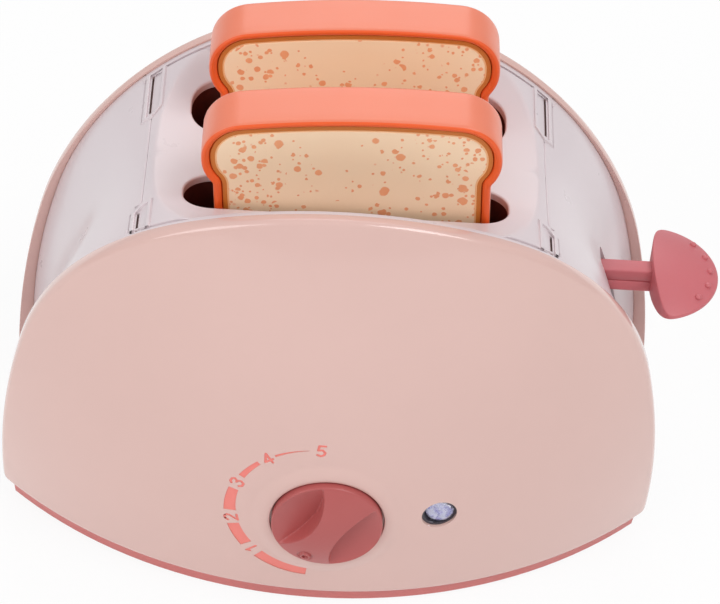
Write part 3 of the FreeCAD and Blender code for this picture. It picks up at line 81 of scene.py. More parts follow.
# %% Shared sizes
MM = 0.001
LIFT = 0.8
HALF_WIDTH, TOP, CROWN_RADIUS, CROWN_ANGLE = 95.0, 130.0, 103.0, 66.6
SHOULDER_RADIUS, SIDE_RADIUS, PANEL_FOOT = 82.6, 217.0, 4.2
BELLY_DEPTH, BELLY_HEIGHT, PLAN_RADIUS, BELLY_RADIUS = 64.8, 35.5, 138.5, 250.0
PANEL_THICKNESS, RIM_STRIP, GROOVE_WIDTH = 3.2, 1.7, 0.7
OVERHANG, WAIST_DROP, EDGE_WAIST, WAIST_REACH = 0.7, 1.3, 0.2, 36.0
WAIST_SHOULDER, WAIST_SHOULDER_END, WAIST_SIDE = 62.0, 25.0, 152.0
SEAM_X, STRIP_X, SEAM_GAP = 55.2, 58.1, 0.12
TROUGH_FLOOR, TROUGH_RADIUS = 112.0, 88.0
CROWN_CENTRE = TOP - CROWN_RADIUS
BARREL_AXIS = PLAN_RADIUS - BELLY_DEPTH


def on_arc(angle, centre, radius):
    turn = math.radians(angle)
    return centre[0] + radius * math.cos(turn), centre[1] + radius * math.sin(turn)


def run_along(points):
    """The distance covered at each point of a broken line."""
    return np.concatenate([[0], np.cumsum(np.hypot(*np.diff(points, axis=0).T))])


def halve(low, high, steps, inside):
    """Narrows low and high down to the place where inside(place) turns false."""
    for _ in range(steps):
        middle = (low + high) / 2
        if inside(middle):
            low = middle
        else:
            high = middle
    return low, high


def round_corners(wide, high, low, radius):
    """The four corners of a rounded rectangle, seven points each, from the upper right one on."""
    middles = ((wide, high), (-wide, high), (-wide, low), (wide, low))
    return [[on_arc(90 * n + 15 * k, middle, radius) for k in range(7)]
            for n, middle in enumerate(middles)]


def outline_arcs(waist=0.0):
    """Shoulder centre, radius, end angle, side centre and radius of the outline."""
    start = on_arc(CROWN_ANGLE, (0, CROWN_CENTRE), CROWN_RADIUS - SHOULDER_RADIUS)
    end_cosine = (SIDE_RADIUS + start[0] - HALF_WIDTH) / (SIDE_RADIUS - SHOULDER_RADIUS)
    end_angle = math.degrees(math.acos(end_cosine))
    shoulder = SHOULDER_RADIUS + waist * (WAIST_SHOULDER - SHOULDER_RADIUS)
    side = SIDE_RADIUS + waist * (WAIST_SIDE - SIDE_RADIUS)
    angle = end_angle + waist * (WAIST_SHOULDER_END - end_angle)
    centre = on_arc(CROWN_ANGLE, (0, CROWN_CENTRE), CROWN_RADIUS - shoulder)
    return centre, shoulder, angle, on_arc(angle, centre, shoulder - side), side


def panel_depth(x, z, inset=0.0):
    """How far a panel's surface stands from the middle plane."""
    reach = math.sqrt((BELLY_RADIUS - inset) ** 2 - (z - BELLY_HEIGHT) ** 2)
    return math.sqrt((PLAN_RADIUS - BELLY_RADIUS + reach) ** 2 - x * x) - BARREL_AXIS


print("panel half-depth at the belly", panel_depth(0, BELLY_HEIGHT))

# %% [markdown]
# ## From rows of points to a mesh
# Most pieces here are rows of points joined by quads, which is how a boat builder planks a hull.
# `Planks` collects the rows. `mesh_object` turns them into an object with outward normals and smooth
# shading that breaks at sharp edges, and `place_piece` gives it its materials and the body it rides on.

# %% Mesh helpers
class Planks:
    def __init__(self):
        self.points, self.faces, self.slots = [], [], []

    def row(self, points):
        first = len(self.points)
        self.points.extend(points)
        return list(range(first, len(self.points)))

    def join(self, a, b, closed=False, slot=0):
        count = len(a) if closed else len(a) - 1
        for i in range(count):
            j = (i + 1) % len(a)
            self.faces.append((a[i], a[j], b[j], b[i]))
            self.slots.append(slot)

    def cap(self, row, centre, slot=0):
        middle = self.row([centre])[0]
        for i in range(len(row)):
            self.faces.append((row[i], row[(i + 1) % len(row)], middle))
            self.slots.append(slot)

    def sheet(self, rows, closed=False):
        for a, b in zip(rows, rows[1:]):
            self.join(a, b, closed)

    def tube(self, rows, start, end):
        """Rows joined into a tube, with a lid at each end round the given middles."""
        self.sheet(rows, closed=True)
        self.cap(rows[0], start)
        self.cap(rows[-1], end)


def put_in_scene(name, data):
    made = bpy.data.objects.new(name, data)
    bpy.context.scene.collection.objects.link(made)
    return made


def to_metres(points):
    return [(x * MM, y * MM, (z + LIFT) * MM) for x, y, z in points]


def finish_mesh(mesh, angle=35.0):
    """Merged points, outward normals, smooth shading with sharp edges over the angle."""
    work = bmesh.new()
    work.from_mesh(mesh)
    bmesh.ops.remove_doubles(work, verts=work.verts, dist=1e-6)
    bmesh.ops.dissolve_degenerate(work, edges=work.edges, dist=1e-7)
    bmesh.ops.recalc_face_normals(work, faces=work.faces)
    for face in work.faces:
        face.smooth = True
    for edge in work.edges:
        edge.smooth = len(edge.link_faces) != 2 or edge.calc_face_angle(0) < math.radians(angle)
    work.to_mesh(mesh)
    work.free()
    return mesh


def mesh_object(name, planks, angle=35.0, facing=None):
    """An object from planks. An open sheet is turned to face a direction."""
    mesh = bpy.data.meshes.new(name)
    mesh.from_pydata(to_metres(planks.points), [], planks.faces)
    mesh.polygons.foreach_set("material_index", planks.slots)
    finish_mesh(mesh, angle)
    if facing is not None and sum(p.normal.dot(Vector(facing)) * p.area for p in mesh.polygons) < 0:
        mesh.flip_normals()
    return put_in_scene(name, mesh)


def apply_modifiers(piece):
    """Turns a piece with live modifiers into a plain mesh."""
    depsgraph = bpy.context.evaluated_depsgraph_get()
    mesh = bpy.data.meshes.new_from_object(piece.evaluated_get(depsgraph))
    piece.modifiers.clear()
    piece.data = mesh
    return piece


def place_piece(piece, body, materials, nodes=()):
    """Gives a finished piece its materials and its body, and hides the CAD nodes it stands for."""
    indices = [polygon.material_index for polygon in piece.data.polygons]
    piece.data.materials.clear()
    for material in materials:
        piece.data.materials.append(material)
    last = len(materials) - 1
    piece.data.polygons.foreach_set("material_index", [min(i, last) for i in indices])
    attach(piece, body)
    if nodes:
        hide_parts(*nodes)
    print(piece.name, len(piece.data.polygons), "faces on", body)
    return piece


def combine(piece, other, operation="DIFFERENCE", solver="MANIFOLD"):
    """A boolean step, applied; the other solid is thrown away."""
    step = piece.modifiers.new("combine", "BOOLEAN")
    step.operation, step.solver, step.object = operation, solver, other
    apply_modifiers(piece)
    bpy.data.objects.remove(other, do_unlink=True)


def join_pieces(name, pieces):
    """One mesh from several, all already in place."""
    work = bmesh.new()
    for piece in pieces:
        work.from_mesh(piece.data)
        bpy.data.objects.remove(piece, do_unlink=True)
    mesh = bpy.data.meshes.new(name)
    work.to_mesh(mesh)
    work.free()
    return put_in_scene(name, mesh)


# %% [markdown]
# ## Moulded plastic
# Nearly everything is injection-moulded plastic. A real moulding is never one flat colour: the
# gloss changes a little where the mould was polished, the surface has a faint orange-peel, and
# fingers leave it duller in places. `moulded` makes that with three noises in object space, so the
# grain keeps its real size on every piece, whatever the piece's shape.

# %% The plastic recipe
def new_material(name):
    """A material, its tree, its shader and the place on the piece, in metres."""
    material = bpy.data.materials.new(name)
    material.use_nodes = True
    tree = material.node_tree
    spot = tree.nodes.new("ShaderNodeTexCoord").outputs["Object"]
    return material, tree, tree.nodes["Principled BSDF"], spot


def set_inputs(node, values):
    """Each value is a number, a colour or the output of another node, under the socket's name or place."""
    for key, value in values.items():
        if isinstance(value, bpy.types.NodeSocket):
            node.id_data.links.new(value, node.inputs[key])
        else:
            node.inputs[key].default_value = value
    return node


def add_node(tree, kind, values, **settings):
    node = tree.nodes.new(kind)
    for key, value in settings.items():
        setattr(node, key, value)
    return set_inputs(node, values)


def noise(tree, coordinates, scale, detail=2.0, roughness=0.5):
    return add_node(tree, "ShaderNodeTexNoise", {
        "Scale": scale, "Detail": detail, "Roughness": roughness, "Vector": coordinates}).outputs["Fac"]


def spread(tree, value, low, high, from_low=0.0, from_high=1.0):
    return add_node(tree, "ShaderNodeMapRange", {
        "Value": value, "From Min": from_low, "From Max": from_high,
        "To Min": low, "To Max": high}).outputs["Result"]


def mix_colour(tree, factor, a, b):
    a, b = ((*c, 1.0) if isinstance(c, tuple) else c for c in (a, b))
    return add_node(tree, "ShaderNodeMix", {0: factor, 6: a, 7: b}, data_type="RGBA").outputs[2]


def math_node(tree, operation, *values):
    return add_node(tree, "ShaderNodeMath", dict(enumerate(values)), operation=operation).outputs[0]


def bump(tree, shader, height, distance):
    node = add_node(tree, "ShaderNodeBump", {"Strength": 1.0, "Distance": distance, "Height": height})
    set_inputs(shader, {"Normal": node.outputs["Normal"]})


def linear(red, green, blue):
    """A screen colour, 0 to 255, as the linear colour that Blender's sockets hold."""
    return tuple(((c / 255 + 0.055) / 1.055) ** 2.4 if c > 10 else c / 3294.6
                 for c in (red, green, blue))


def soft_range(tree, value, low=0.0, high=1.0):
    """A noise keeps near its middle, so 0.3 to 0.7 of it is stretched over the wanted range."""
    return spread(tree, value, low, high, 0.3, 0.7)


def moulded(name, colour, roughness=0.35, coat=0.0, coat_roughness=0.05, peel=0.00002, tint=0.03,
            subsurface=0.0):
    material, tree, shader, spot = new_material(name)
    cloud = noise(tree, spot, 22.0, 3.0)
    light = tuple(min(1.0, c * (1 + tint)) for c in colour)
    dark = tuple(c * (1 - tint) for c in colour)
    base = mix_colour(tree, soft_range(tree, cloud), dark, light)
    wear = noise(tree, spot, 60.0, 4.0, 0.6)
    set_inputs(shader, {
        "Base Color": base, "Roughness": soft_range(tree, wear, roughness * 0.88, roughness * 1.15),
        "Coat Weight": coat, "Coat Roughness": coat_roughness})
    if subsurface:
        set_inputs(shader, {
            "Subsurface Weight": subsurface, "Subsurface Radius": (0.004, 0.002, 0.0015),
            "Subsurface Scale": 0.6})
    bump(tree, shader, noise(tree, spot, 900.0, 1.0), peel)
    return material


# %% The plastics of this toaster
PANEL_PINK = moulded("panel_gloss_pink", linear(228, 190, 181), 0.16, coat=0.5, coat_roughness=0.03,
                     peel=0.000004, tint=0.012)
CASING_WHITE = moulded("casing_warm_white", linear(226, 214, 217), 0.3, coat=0.15,
                       coat_roughness=0.1, peel=0.000001, tint=0.012)
BASE_PINK = moulded("base_deep_pink", linear(214, 120, 116), 0.4, peel=0.00003)
LEVER_ROSE = moulded("lever_rose", linear(208, 112, 118), 0.42, peel=0.00003, tint=0.02, subsurface=0.1)
DIAL_ROSE = moulded("dial_rose", linear(186, 92, 90), 0.38, peel=0.00003, tint=0.02)
MARK_CORAL = moulded("scale_coral", linear(250, 138, 128), 0.45, peel=0.00002, tint=0.02)
# Painted shade: dark brown for the shade inside the slots, where the inner housing lies in shadow
WELL_PAINTED_SHADE = moulded("well_painted_shade_brown", linear(92, 44, 38), 0.5, peel=0.00004, tint=0.08)
CUP_DARK = moulded("lamp_cup_dark", linear(70, 66, 74), 0.35, tint=0.05)
# The crust is one plastic in two colours: the lighter coral is painted sheen on the upward faces, the
# orange lip is painted shade
CRUST_CORAL_PAINTED_SHEEN = moulded("crust_coral_painted_sheen", linear(241, 134, 103), 0.34, coat=0.1, coat_roughness=0.15,
                      peel=0.00002, tint=0.02, subsurface=0.08)
CRUST_RIM_PAINTED_SHADE = moulded("crust_rim_orange_painted_shade", linear(242, 96, 38), 0.36, peel=0.00002, tint=0.03)
# Painted shade: a darker grey-brown for the floor of the clips' slits, where shade falls
CLIP_SLIT_PAINTED_SHADE = moulded("clip_slit_painted_shade", linear(150, 124, 120), 0.5, peel=0.00002)
BAND_OCHRE = moulded("crust_band_ochre", linear(206, 118, 44), 0.5, peel=0.00003, tint=0.05)
PALE_LINE = moulded("crust_pale_line", linear(246, 190, 138), 0.5, peel=0.00003, tint=0.03)
print("plastics made")

# %% [markdown]
# ## The bulged panels
# Each panel is a shield with a barrel's curve both ways, moulded in high-gloss pink. A flat
# rectangle bent by modifiers would pinch at the shoulders. Instead the mesh grows as rings: they
# start as circles round the dial and turn, ring by ring, into the shield's outline. That puts the
# dial's seat exactly on a ring, and the gloss has no kink to catch on.

# %% The shield outline with its rounded lower corners
CORNER, ARC_STEPS = 1.6, 60


def shield_outline(count=480):
    """Points and outward normals round the shield, evenly spaced, from the bottom centre."""
    centre, radius, angle, side_centre, side_radius = outline_arcs()
    foot = math.degrees(math.asin((PANEL_FOOT + CORNER - side_centre[1]) / side_radius))
    edge_x = on_arc(foot, side_centre, side_radius)[0]
    half = [((0.0, PANEL_FOOT), -90.0), ((edge_x - CORNER, PANEL_FOOT), -90.0)]
    for step in range(1, 9):
        turn = -90 + (foot + 90) * step / 8
        half.append((on_arc(turn, (edge_x - CORNER, PANEL_FOOT + CORNER), CORNER), turn))
    for a0, a1, c, r in ((foot, angle, side_centre, side_radius), (angle, CROWN_ANGLE, centre, radius),
                         (CROWN_ANGLE, 90.0, (0, CROWN_CENTRE), CROWN_RADIUS)):
        for step in range(1, ARC_STEPS + 1):
            turn = a0 + (a1 - a0) * step / ARC_STEPS
            half.append((on_arc(turn, c, r), turn))
    points = np.array([p for p, a in half])
    angles = np.array([a for p, a in half])
    run = run_along(points)
    wanted = np.linspace(0, run[-1], count // 2 + 1)
    x, z, a = (np.interp(wanted, run, v) for v in (points[:, 0], points[:, 1], angles))
    right = list(zip(x, z, np.cos(np.radians(a)), np.sin(np.radians(a))))
    left = [(-px, pz, -nx, nz) for px, pz, nx, nz in right[-2:0:-1]]
    return np.array(right + left)


SHIELD = shield_outline()
print("shield outline", len(SHIELD), "points")

# %% The panel's rings
DIAL_HEIGHT = BELLY_HEIGHT
DIAL_SEAT_RADIUS, DIAL_SEAT_SINK = 15.95, 2.0
SHAFT_HOLE_RADIUS, SHAFT_HOLE_SINK = 3.4, 3.0
DISH_RADIUS, DISH_REACH, DISH_HEIGHT = 21.6, 4.2, 0.55


def dial_dish(x, z):
    """The panel swells a little round the dial and sinks back."""
    distance = math.hypot(x, z - DIAL_HEIGHT)
    t = max(0.0, min(1.0, (DISH_RADIUS - distance) / DISH_REACH))
    return DISH_HEIGHT * t * t * (3 - 2 * t)


def panel_rings(side, seat):
    """One panel: side -1 is the front. seat adds the dial's round seat."""
    planks = Planks()

    def skin(x, z, depth_in):
        swell = dial_dish(x, z) if seat and depth_in < 1 else 0.0
        return (x, side * (panel_depth(x, z, depth_in) + swell), z)

    around = np.unwrap(np.arctan2(SHIELD[:, 1] - DIAL_HEIGHT, SHIELD[:, 0]))

    def ring(blend, radius, inset, depth_in):
        points = []
        for (px, pz, nx, nz), turn in zip(SHIELD, around):
            ex, ez = px - inset * nx, pz - inset * nz
            cx, cz = radius * math.cos(turn), DIAL_HEIGHT + radius * math.sin(turn)
            points.append(skin(cx + blend * (ex - cx), cz + blend * (ez - cz), depth_in))
        return planks.row(points)

    rows = []
    start = DIAL_SEAT_RADIUS if seat else 0.0
    if seat:
        for radius, sink in ((SHAFT_HOLE_RADIUS, SHAFT_HOLE_SINK), (SHAFT_HOLE_RADIUS, DIAL_SEAT_SINK),
                             (DIAL_SEAT_RADIUS, DIAL_SEAT_SINK)):
            rows.append(planks.row([(radius * math.cos(t), side * (BELLY_DEPTH - sink),
                                     DIAL_HEIGHT + radius * math.sin(t)) for t in around]))
        rows.append(ring(0.0, start, 1.0, 0.35))
        rows.append(ring(0.0, start + 0.12, 1.0, 0.1))
        radii = [start + 0.35 + 0.5 * k for k in range(13)]
        rows += [ring(0.0, r, 1.0, 0.0) for r in radii]
        start = radii[-1]
    steps = 44
    for k in range(1 if seat else 0, steps + 1):
        t = k / steps
        rows.append(ring(t if t else 1e-4, start, 1.0, 0.0))
    for k in range(1, 7):
        turn = math.radians(90 * k / 6)
        rows.append(ring(1.0, start, 1.0 - math.sin(turn), 1.0 - math.cos(turn)))
    rows.append(ring(1.0, start, 0.0, PANEL_THICKNESS - 0.4))
    rows.append(ring(1.0, start, 0.12, PANEL_THICKNESS - 0.12))
    rows.append(ring(1.0, start, 0.4, PANEL_THICKNESS))
    back = 10
    for k in range(back - 1, -1, -1):
        hole = SHAFT_HOLE_RADIUS if seat else 0.0
        rows.append(ring(max(k / back, 1e-4), hole, 0.4, PANEL_THICKNESS))
    planks.sheet(rows, closed=True)
    if seat:
        planks.join(rows[-1], rows[0], closed=True)
    return planks


front_panel = mesh_object("front_panel_skin", panel_rings(-1, True))
back_panel = mesh_object("back_panel_skin", panel_rings(1, False))
print("panel rings done")

# %% [markdown]
# ## The lamp hole and the sunk scale
# The lamp sits in a round hole. The dial's scale is a row of bars and numerals sunk a fraction of a
# millimetre into the panel and filled with coral plastic. A decal would look flat, so each mark is
# drawn as a flat shape, bent onto the panel's curve and cut into it, and a thinner copy of the same
# shape becomes the filling. A numeral is a few straight strokes with round ends, merged into one.

# %% Flat marks for the scale
SCALE_CENTRE, SCALE_RADIUS = (-3.0, DIAL_HEIGHT + 2.4), 24.25
SCALE_BARS = ((265.5, 229.5, 3.1, 3.6), (217.8, 197.5, 3.7, 3.5), (185.2, 164.2, 3.5, 2.8),
              (151.5, 133.4, 1.9, 1.4), (120.6, 97.4, 0.8, 0.2))
DIGIT_ANGLES = (223.5, 191.9, 157.9, 126.2, 89.6)


def bar_outline(start, end, width, end_width, steps=24):
    """A closed loop of (x, z) round one bent bar, in panel coordinates."""
    outer, inner = [], []
    for k in range(steps + 1):
        t = k / steps
        half = (width + t * (end_width - width)) / 2
        turn = start + t * (end - start)
        outer.append(on_arc(turn, SCALE_CENTRE, SCALE_RADIUS + half))
        inner.append(on_arc(turn, SCALE_CENTRE, SCALE_RADIUS - half))
    return outer + inner[::-1]


DIGIT_STROKE, DIGIT_HALF = 0.75, 1.75
DIGIT_STROKES = (
    ((-0.3, 0.6), (0.1, 1.0), (0.1, -1.0)),
    ((-0.6, 0.6), (-0.3, 1.0), (0.3, 1.0), (0.6, 0.6), (0.5, 0.2), (-0.6, -1.0), (0.6, -1.0)),
    ((-0.6, 0.7), (-0.3, 1.0), (0.3, 1.0), (0.6, 0.6), (0.3, 0.1), (0.0, 0.1), (0.3, 0.1), (0.6, -0.5),
     (0.3, -1.0), (-0.3, -1.0), (-0.6, -0.6)),
    ((0.3, -1.0), (0.3, 1.0), (-0.7, -0.4), (0.7, -0.4)),
    ((0.6, 1.0), (-0.4, 1.0), (-0.5, 0.1), (0.2, 0.2), (0.6, -0.3), (0.4, -0.8), (-0.1, -1.0),
     (-0.6, -0.8)))


def pill(start, end, radius, steps=10):
    """A closed loop round one straight stroke with round ends."""
    aim = math.degrees(math.atan2(end[1] - start[1], end[0] - start[0]))
    loop = [on_arc(aim - 90 + 180 * k / steps, end, radius) for k in range(steps + 1)]
    return loop + [on_arc(aim + 90 + 180 * k / steps, start, radius) for k in range(steps + 1)]


def digit_strokes(corners, angle):
    """One numeral as loops in panel coordinates, its top away from the dial."""
    turn = math.radians(angle)
    out, along = (math.cos(turn), math.sin(turn)), (math.sin(turn), -math.cos(turn))
    placed = []
    for right, up in corners:
        right, up = right * DIGIT_HALF, SCALE_RADIUS + up * DIGIT_HALF
        placed.append(tuple(SCALE_CENTRE[k] + out[k] * up + along[k] * right for k in (0, 1)))
    return [pill(*pair, DIGIT_STROKE / 2) for pair in zip(placed, placed[1:])]


BAR_LOOPS = [bar_outline(*bar) for bar in SCALE_BARS]
DIGIT_LOOPS = [digit_strokes(corners, angle) for corners, angle in zip(DIGIT_STROKES, DIGIT_ANGLES)]
print(len(BAR_LOOPS), "bars and", len(DIGIT_LOOPS), "numerals drawn")

# %% Bend the marks onto the panel
def mark_prism(name, loop, face_inset, floor_inset):
    """One flat loop as a closed solid between two depths below the panel's face."""
    planks = Planks()
    rows = [planks.row([(x, -panel_depth(x, z, inset), z) for x, z in loop])
            for inset in (face_inset, floor_inset)]
    planks.faces += [tuple(rows[0]), tuple(reversed(rows[1]))]
    planks.slots += [0, 0]
    planks.join(rows[0], rows[1], closed=True)
    return mesh_object(name, planks)


def mark_solids(face_inset, floor_inset):
    """All marks, one closed solid for each. The strokes of a numeral are merged."""
    solids = [mark_prism("scale_bar", loop, face_inset, floor_inset) for loop in BAR_LOOPS]
    for loops in DIGIT_LOOPS:
        strokes = [mark_prism("stroke", loop, face_inset, floor_inset) for loop in loops]
        for other in strokes[1:]:
            combine(strokes[0], other, "UNION")
        solids.append(strokes[0])
    return solids


def rod_along_y(name, x, z, radius, y0, y1, steps=64):
    planks = Planks()
    circle = [on_arc(360 * k / steps, (x, z), radius) for k in range(steps)]
    rows = [planks.row([(px, y, pz) for px, pz in circle]) for y in (y0, y1)]
    planks.tube(rows, (x, y0, z), (x, y1, z))
    return mesh_object(name, planks)


LAMP_X, LAMP_HEIGHT, LAMP_RADIUS = 31.2, 37.2, 4.9
MARK_FLOOR, MARK_FACE, CUTTER_PROUD = 0.5, 0.2, 1.5
for cutter in mark_solids(-CUTTER_PROUD, MARK_FLOOR):
    combine(front_panel, cutter)
combine(front_panel, rod_along_y("lamp_cutter", LAMP_X, LAMP_HEIGHT, LAMP_RADIUS, -80, -40))
finish_mesh(front_panel.data, 35)
scale_marks = join_pieces("scale_marks_filling", mark_solids(MARK_FACE, MARK_FLOOR))
finish_mesh(scale_marks.data, 30)
place_piece(front_panel, "casing", [PANEL_PINK], ["front_panel"])
place_piece(back_panel, "casing", [PANEL_PINK], ["back_panel"])
place_piece(scale_marks, "casing", [MARK_CORAL], ["scale_marks"])

# %% [markdown]
# ## The waisted casing
# Between the panels runs a white body that narrows in the middle, like a saddle. Its section at
# each depth is the panels' outline, moved in by the overhang and by the waist. `casing_point` gives
# any point of that surface from a place along the outline and a depth, so the shells, the cover and
# the rims all lie on one surface and only differ in which part of it they cover.

# %% A point on the casing
EDGE_GUESS, RIM_GUESS = 38.0, 42.0


def casing_section(y):
    """The outline's arcs at one depth, and how far the casing lies inside them."""
    fade = max(0.0, 1 - (y / WAIST_REACH) ** 2) ** 2
    return outline_arcs(EDGE_WAIST + (1 - EDGE_WAIST) * fade), OVERHANG + WAIST_DROP * fade


def casing_point(t, y, inset=0.0):
    """t runs 0 to 1 over the crown, to 2 over the shoulder and to 3 down the side."""
    (centre, shoulder, angle, side_centre, side), drop = casing_section(y)
    drop += inset
    if t <= 1:
        return on_arc(90 - t * (90 - CROWN_ANGLE), (0, CROWN_CENTRE), CROWN_RADIUS - drop)
    if t <= 2:
        return on_arc(CROWN_ANGLE + (t - 1) * (angle - CROWN_ANGLE), centre, shoulder - drop)
    foot = math.degrees(math.asin((PANEL_FOOT - side_centre[1]) / (side - drop)))
    return on_arc(angle + (t - 2) * (foot - angle), side_centre, side - drop)


def end_depth(t, inset, panel_inset):
    """The depth at which the casing meets a surface a given distance inside the panel."""
    y = EDGE_GUESS
    for _ in range(5):
        x, z = casing_point(t, y, inset)
        y = panel_depth(x, z, panel_inset)
    return y


def seam_place(y, x_wanted):
    """Where along the outline the casing reaches a given x."""
    return sum(halve(1.0, 2.0, 24, lambda t: casing_point(t, y)[0] < x_wanted)) / 2


GROOVE_INSET = PANEL_THICKNESS + RIM_STRIP + GROOVE_WIDTH
print("groove over the crown", end_depth(0.0, 0, GROOVE_INSET))

# %% [markdown]
# ## Side shells
# A shell is a grid of quads over its part of the casing, with the edges rolled in: the last rows
# turn down through a small radius, as a moulded edge does. It runs right up to the panels' backs.
# Solidify gives it a wall, and the right shell gets the lever's slot cut through. The windows for the
# clips are cut with straight planes, which keeps every other face of the sheet as it was.

# %% The shells
ROLL = 0.28
ROLL_STEPS = ((0.0, 5.0), (0.0, 1.0), (0.14, 0.48), (0.48, 0.14), (1.0, 0.0))


def with_rolls(length, steps):
    """Positions along a run with both ends rolled in: pairs of (distance, inset)."""
    start = [(ROLL * d, ROLL * i) for d, i in ROLL_STEPS]
    inner = [(ROLL + (length - 2 * ROLL) * k / steps, 0.0) for k in range(1, steps)]
    return start + inner + [(length - d, i) for d, i in reversed(start)]


def shell_edge(t):
    """Where a shell ends: at the rim's groove near the seam, else at the panel's back."""
    beside_strip = casing_point(t, RIM_GUESS)[0] < STRIP_X + 0.1
    return end_depth(t, 0, GROOVE_INSET if beside_strip else PANEL_THICKNESS + 0.05)


def side_shell(side):
    """Rows run down the casing, each from the front edge to the back; the run is stretched to fit."""
    planks = Planks()
    rows = []
    width, length = 100.0, 150.0
    across = with_rolls(width, 60)
    for run, inset_t in with_rolls(length, 110):
        row = []
        for s, inset_y in across:
            y = 0.0
            for _ in range(4):
                t0 = seam_place(y, SEAM_X + SEAM_GAP)
                t = t0 + (3 - t0) * run / length
                limit = shell_edge(t)
                near_end = min(s, width - s)
                if near_end <= ROLL:
                    y = math.copysign(limit - near_end, s - width / 2)
                else:
                    y = (s - width / 2) / (width / 2 - ROLL) * (limit - ROLL)
            x, z = casing_point(t, y, max(inset_t, inset_y))
            row.append((side * x, y, z))
        rows.append(planks.row(row))
    planks.sheet(rows)
    return planks


WINDOW_ROOM, WINDOW_LOWEST = 0.001, 0.09


def side_plane(a, b, middle):
    """A point in metres and an outward normal for the upright plane through two plan points."""
    normal = Vector((b[1] - a[1], a[0] - b[0], 0)).normalized()
    if normal.dot(Vector((middle[0] - a[0], middle[1] - a[1], 0))) > 0:
        normal = -normal
    return Vector((a[0] * MM, a[1] * MM, 0)), normal


def cut_window(piece, corners):
    """Cuts a window with straight sides, seen from above, out of a sheet high on the casing."""
    work = bmesh.new()
    work.from_mesh(piece.data)
    low = [min(c[k] for c in corners) * MM - WINDOW_ROOM for k in (0, 1)]
    high = [max(c[k] for c in corners) * MM + WINDOW_ROOM for k in (0, 1)]
    middle = [sum(c[k] for c in corners) / len(corners) for k in (0, 1)]
    planes = [side_plane(a, b, middle) for a, b in zip(corners, corners[1:] + corners[:1])]
    for at, normal in planes:
        near = []
        for face in work.faces:
            where = face.calc_center_median()
            if all(low[k] < where[k] < high[k] for k in (0, 1)):
                near.append(face)
        parts = {item for face in near for item in (face, *face.edges, *face.verts)}
        bmesh.ops.bisect_plane(work, geom=list(parts), plane_co=at, plane_no=normal, dist=1e-7)
    gone = []
    for face in work.faces:
        where = face.calc_center_median()
        if where.z > WINDOW_LOWEST and all((where - at).dot(normal) < 1e-7 for at, normal in planes):
            gone.append(face)
    bmesh.ops.delete(work, geom=gone, context="FACES")
    work.to_mesh(piece.data)
    work.free()
    return piece


def thicken(piece, wall):
    step = piece.modifiers.new("wall", "SOLIDIFY")
    step.thickness, step.offset = wall * MM, -1.0
    return apply_modifiers(piece)


def add_bar(planks, section, stations, middle):
    """A closed bar along X from one section in YZ whose middle is at the given height."""
    rows = [planks.row([(x, y, z) for y, z in section]) for x in stations]
    planks.tube(rows, (stations[0], 0, middle), (stations[-1], 0, middle))


def rounded_slot(name, x0, x1, half_width, z0, z1, radius):
    """A cutter: a rounded rectangle in YZ, running along X."""
    loop = sum(round_corners(half_width - radius, z1 - radius, z0 + radius, radius), [])
    planks = Planks()
    add_bar(planks, loop, (x0, x1), (z0 + z1) / 2)
    return mesh_object(name, planks)


CLIP_IN, CLIP_OUT, CLIP_END, CLIP_CHAMFER = 3.2, 2.9, 34.4, 3.1
CLIP_START = {-1: 22.0, 1: 14.8}
WINDOW_GROW, WINDOW_SHORT = 0.02, 1.6


def clip_corners(side_x, side_y, grow=0.0, short=0.0):
    """The plan outline of one clip: a strip with one corner cut off."""
    x0, x1 = SEAM_X - CLIP_IN - grow, SEAM_X + CLIP_OUT + grow
    y0, y1 = CLIP_START[side_y] - grow, CLIP_END - short
    cut = CLIP_CHAMFER + 0.4 * grow
    if side_y < 0:
        loop = [(x0, y0), (x1 - cut, y0), (x1, y0 + cut), (x1, y1), (x0, y1)]
    else:
        loop = [(x0, y0 + cut), (x0 + cut, y0), (x1, y0), (x1, y1), (x0, y1)]
    return [(side_x * x, side_y * y) for x, y in loop]


CLIP_SIDES = [(side_x, side_y) for side_x in (-1, 1) for side_y in (-1, 1)]


def cut_clip_windows(piece, sides):
    for side_x, side_y in sides:
        cut_window(piece, clip_corners(side_x, side_y, WINDOW_GROW, WINDOW_SHORT))
    return piece


LEVER_HEIGHT, LEVER_HALF_HEIGHT, TRAVEL, SHELL_WALL = 75.8, 3.8, 36.0, 1.4
LEVER_SLOT_HALF, LEVER_SLOT_CORNER = 3.5, 1.2
LEVER_SLOT_BOTTOM = LEVER_HEIGHT - LEVER_HALF_HEIGHT - TRAVEL - 1
LEVER_SLOT_TOP = LEVER_HEIGHT + LEVER_HALF_HEIGHT + 4
for name, side in (("left", -1), ("right", 1)):
    shell = mesh_object(name + "_side_shell_skin", side_shell(side), facing=(side, 0, 0.3))
    shell = thicken(shell, SHELL_WALL)
    if side > 0:
        lever_slot = rounded_slot("lever_slot", 60, 100, LEVER_SLOT_HALF, LEVER_SLOT_BOTTOM,
                                  LEVER_SLOT_TOP, LEVER_SLOT_CORNER)
        combine(shell, lever_slot, solver="EXACT")
    cut_clip_windows(shell, [pair for pair in CLIP_SIDES if pair[0] == side])
    finish_mesh(shell.data, 40)
    place_piece(shell, "casing", [CASING_WHITE], [name + "_side_shell"])

# %% [markdown]
# ## Rims behind the panels
# Over the top, between the clips, a narrow white rim follows each panel, and a fine groove parts it
# from the cover. It is one profile carried along the outline. The profile is given as pairs: how far
# in from the casing's surface, and how far back from the panel's.

# %% The rims
RIM_PROFILE = ((3.0, 3.22), (0.25, 3.22), (0.08, 3.28), (0.0, 3.45), (0.0, 4.65), (0.07, 4.83),
               (0.25, 4.9), (0.9, 4.92), (0.9, 6.3), (3.0, 6.3))


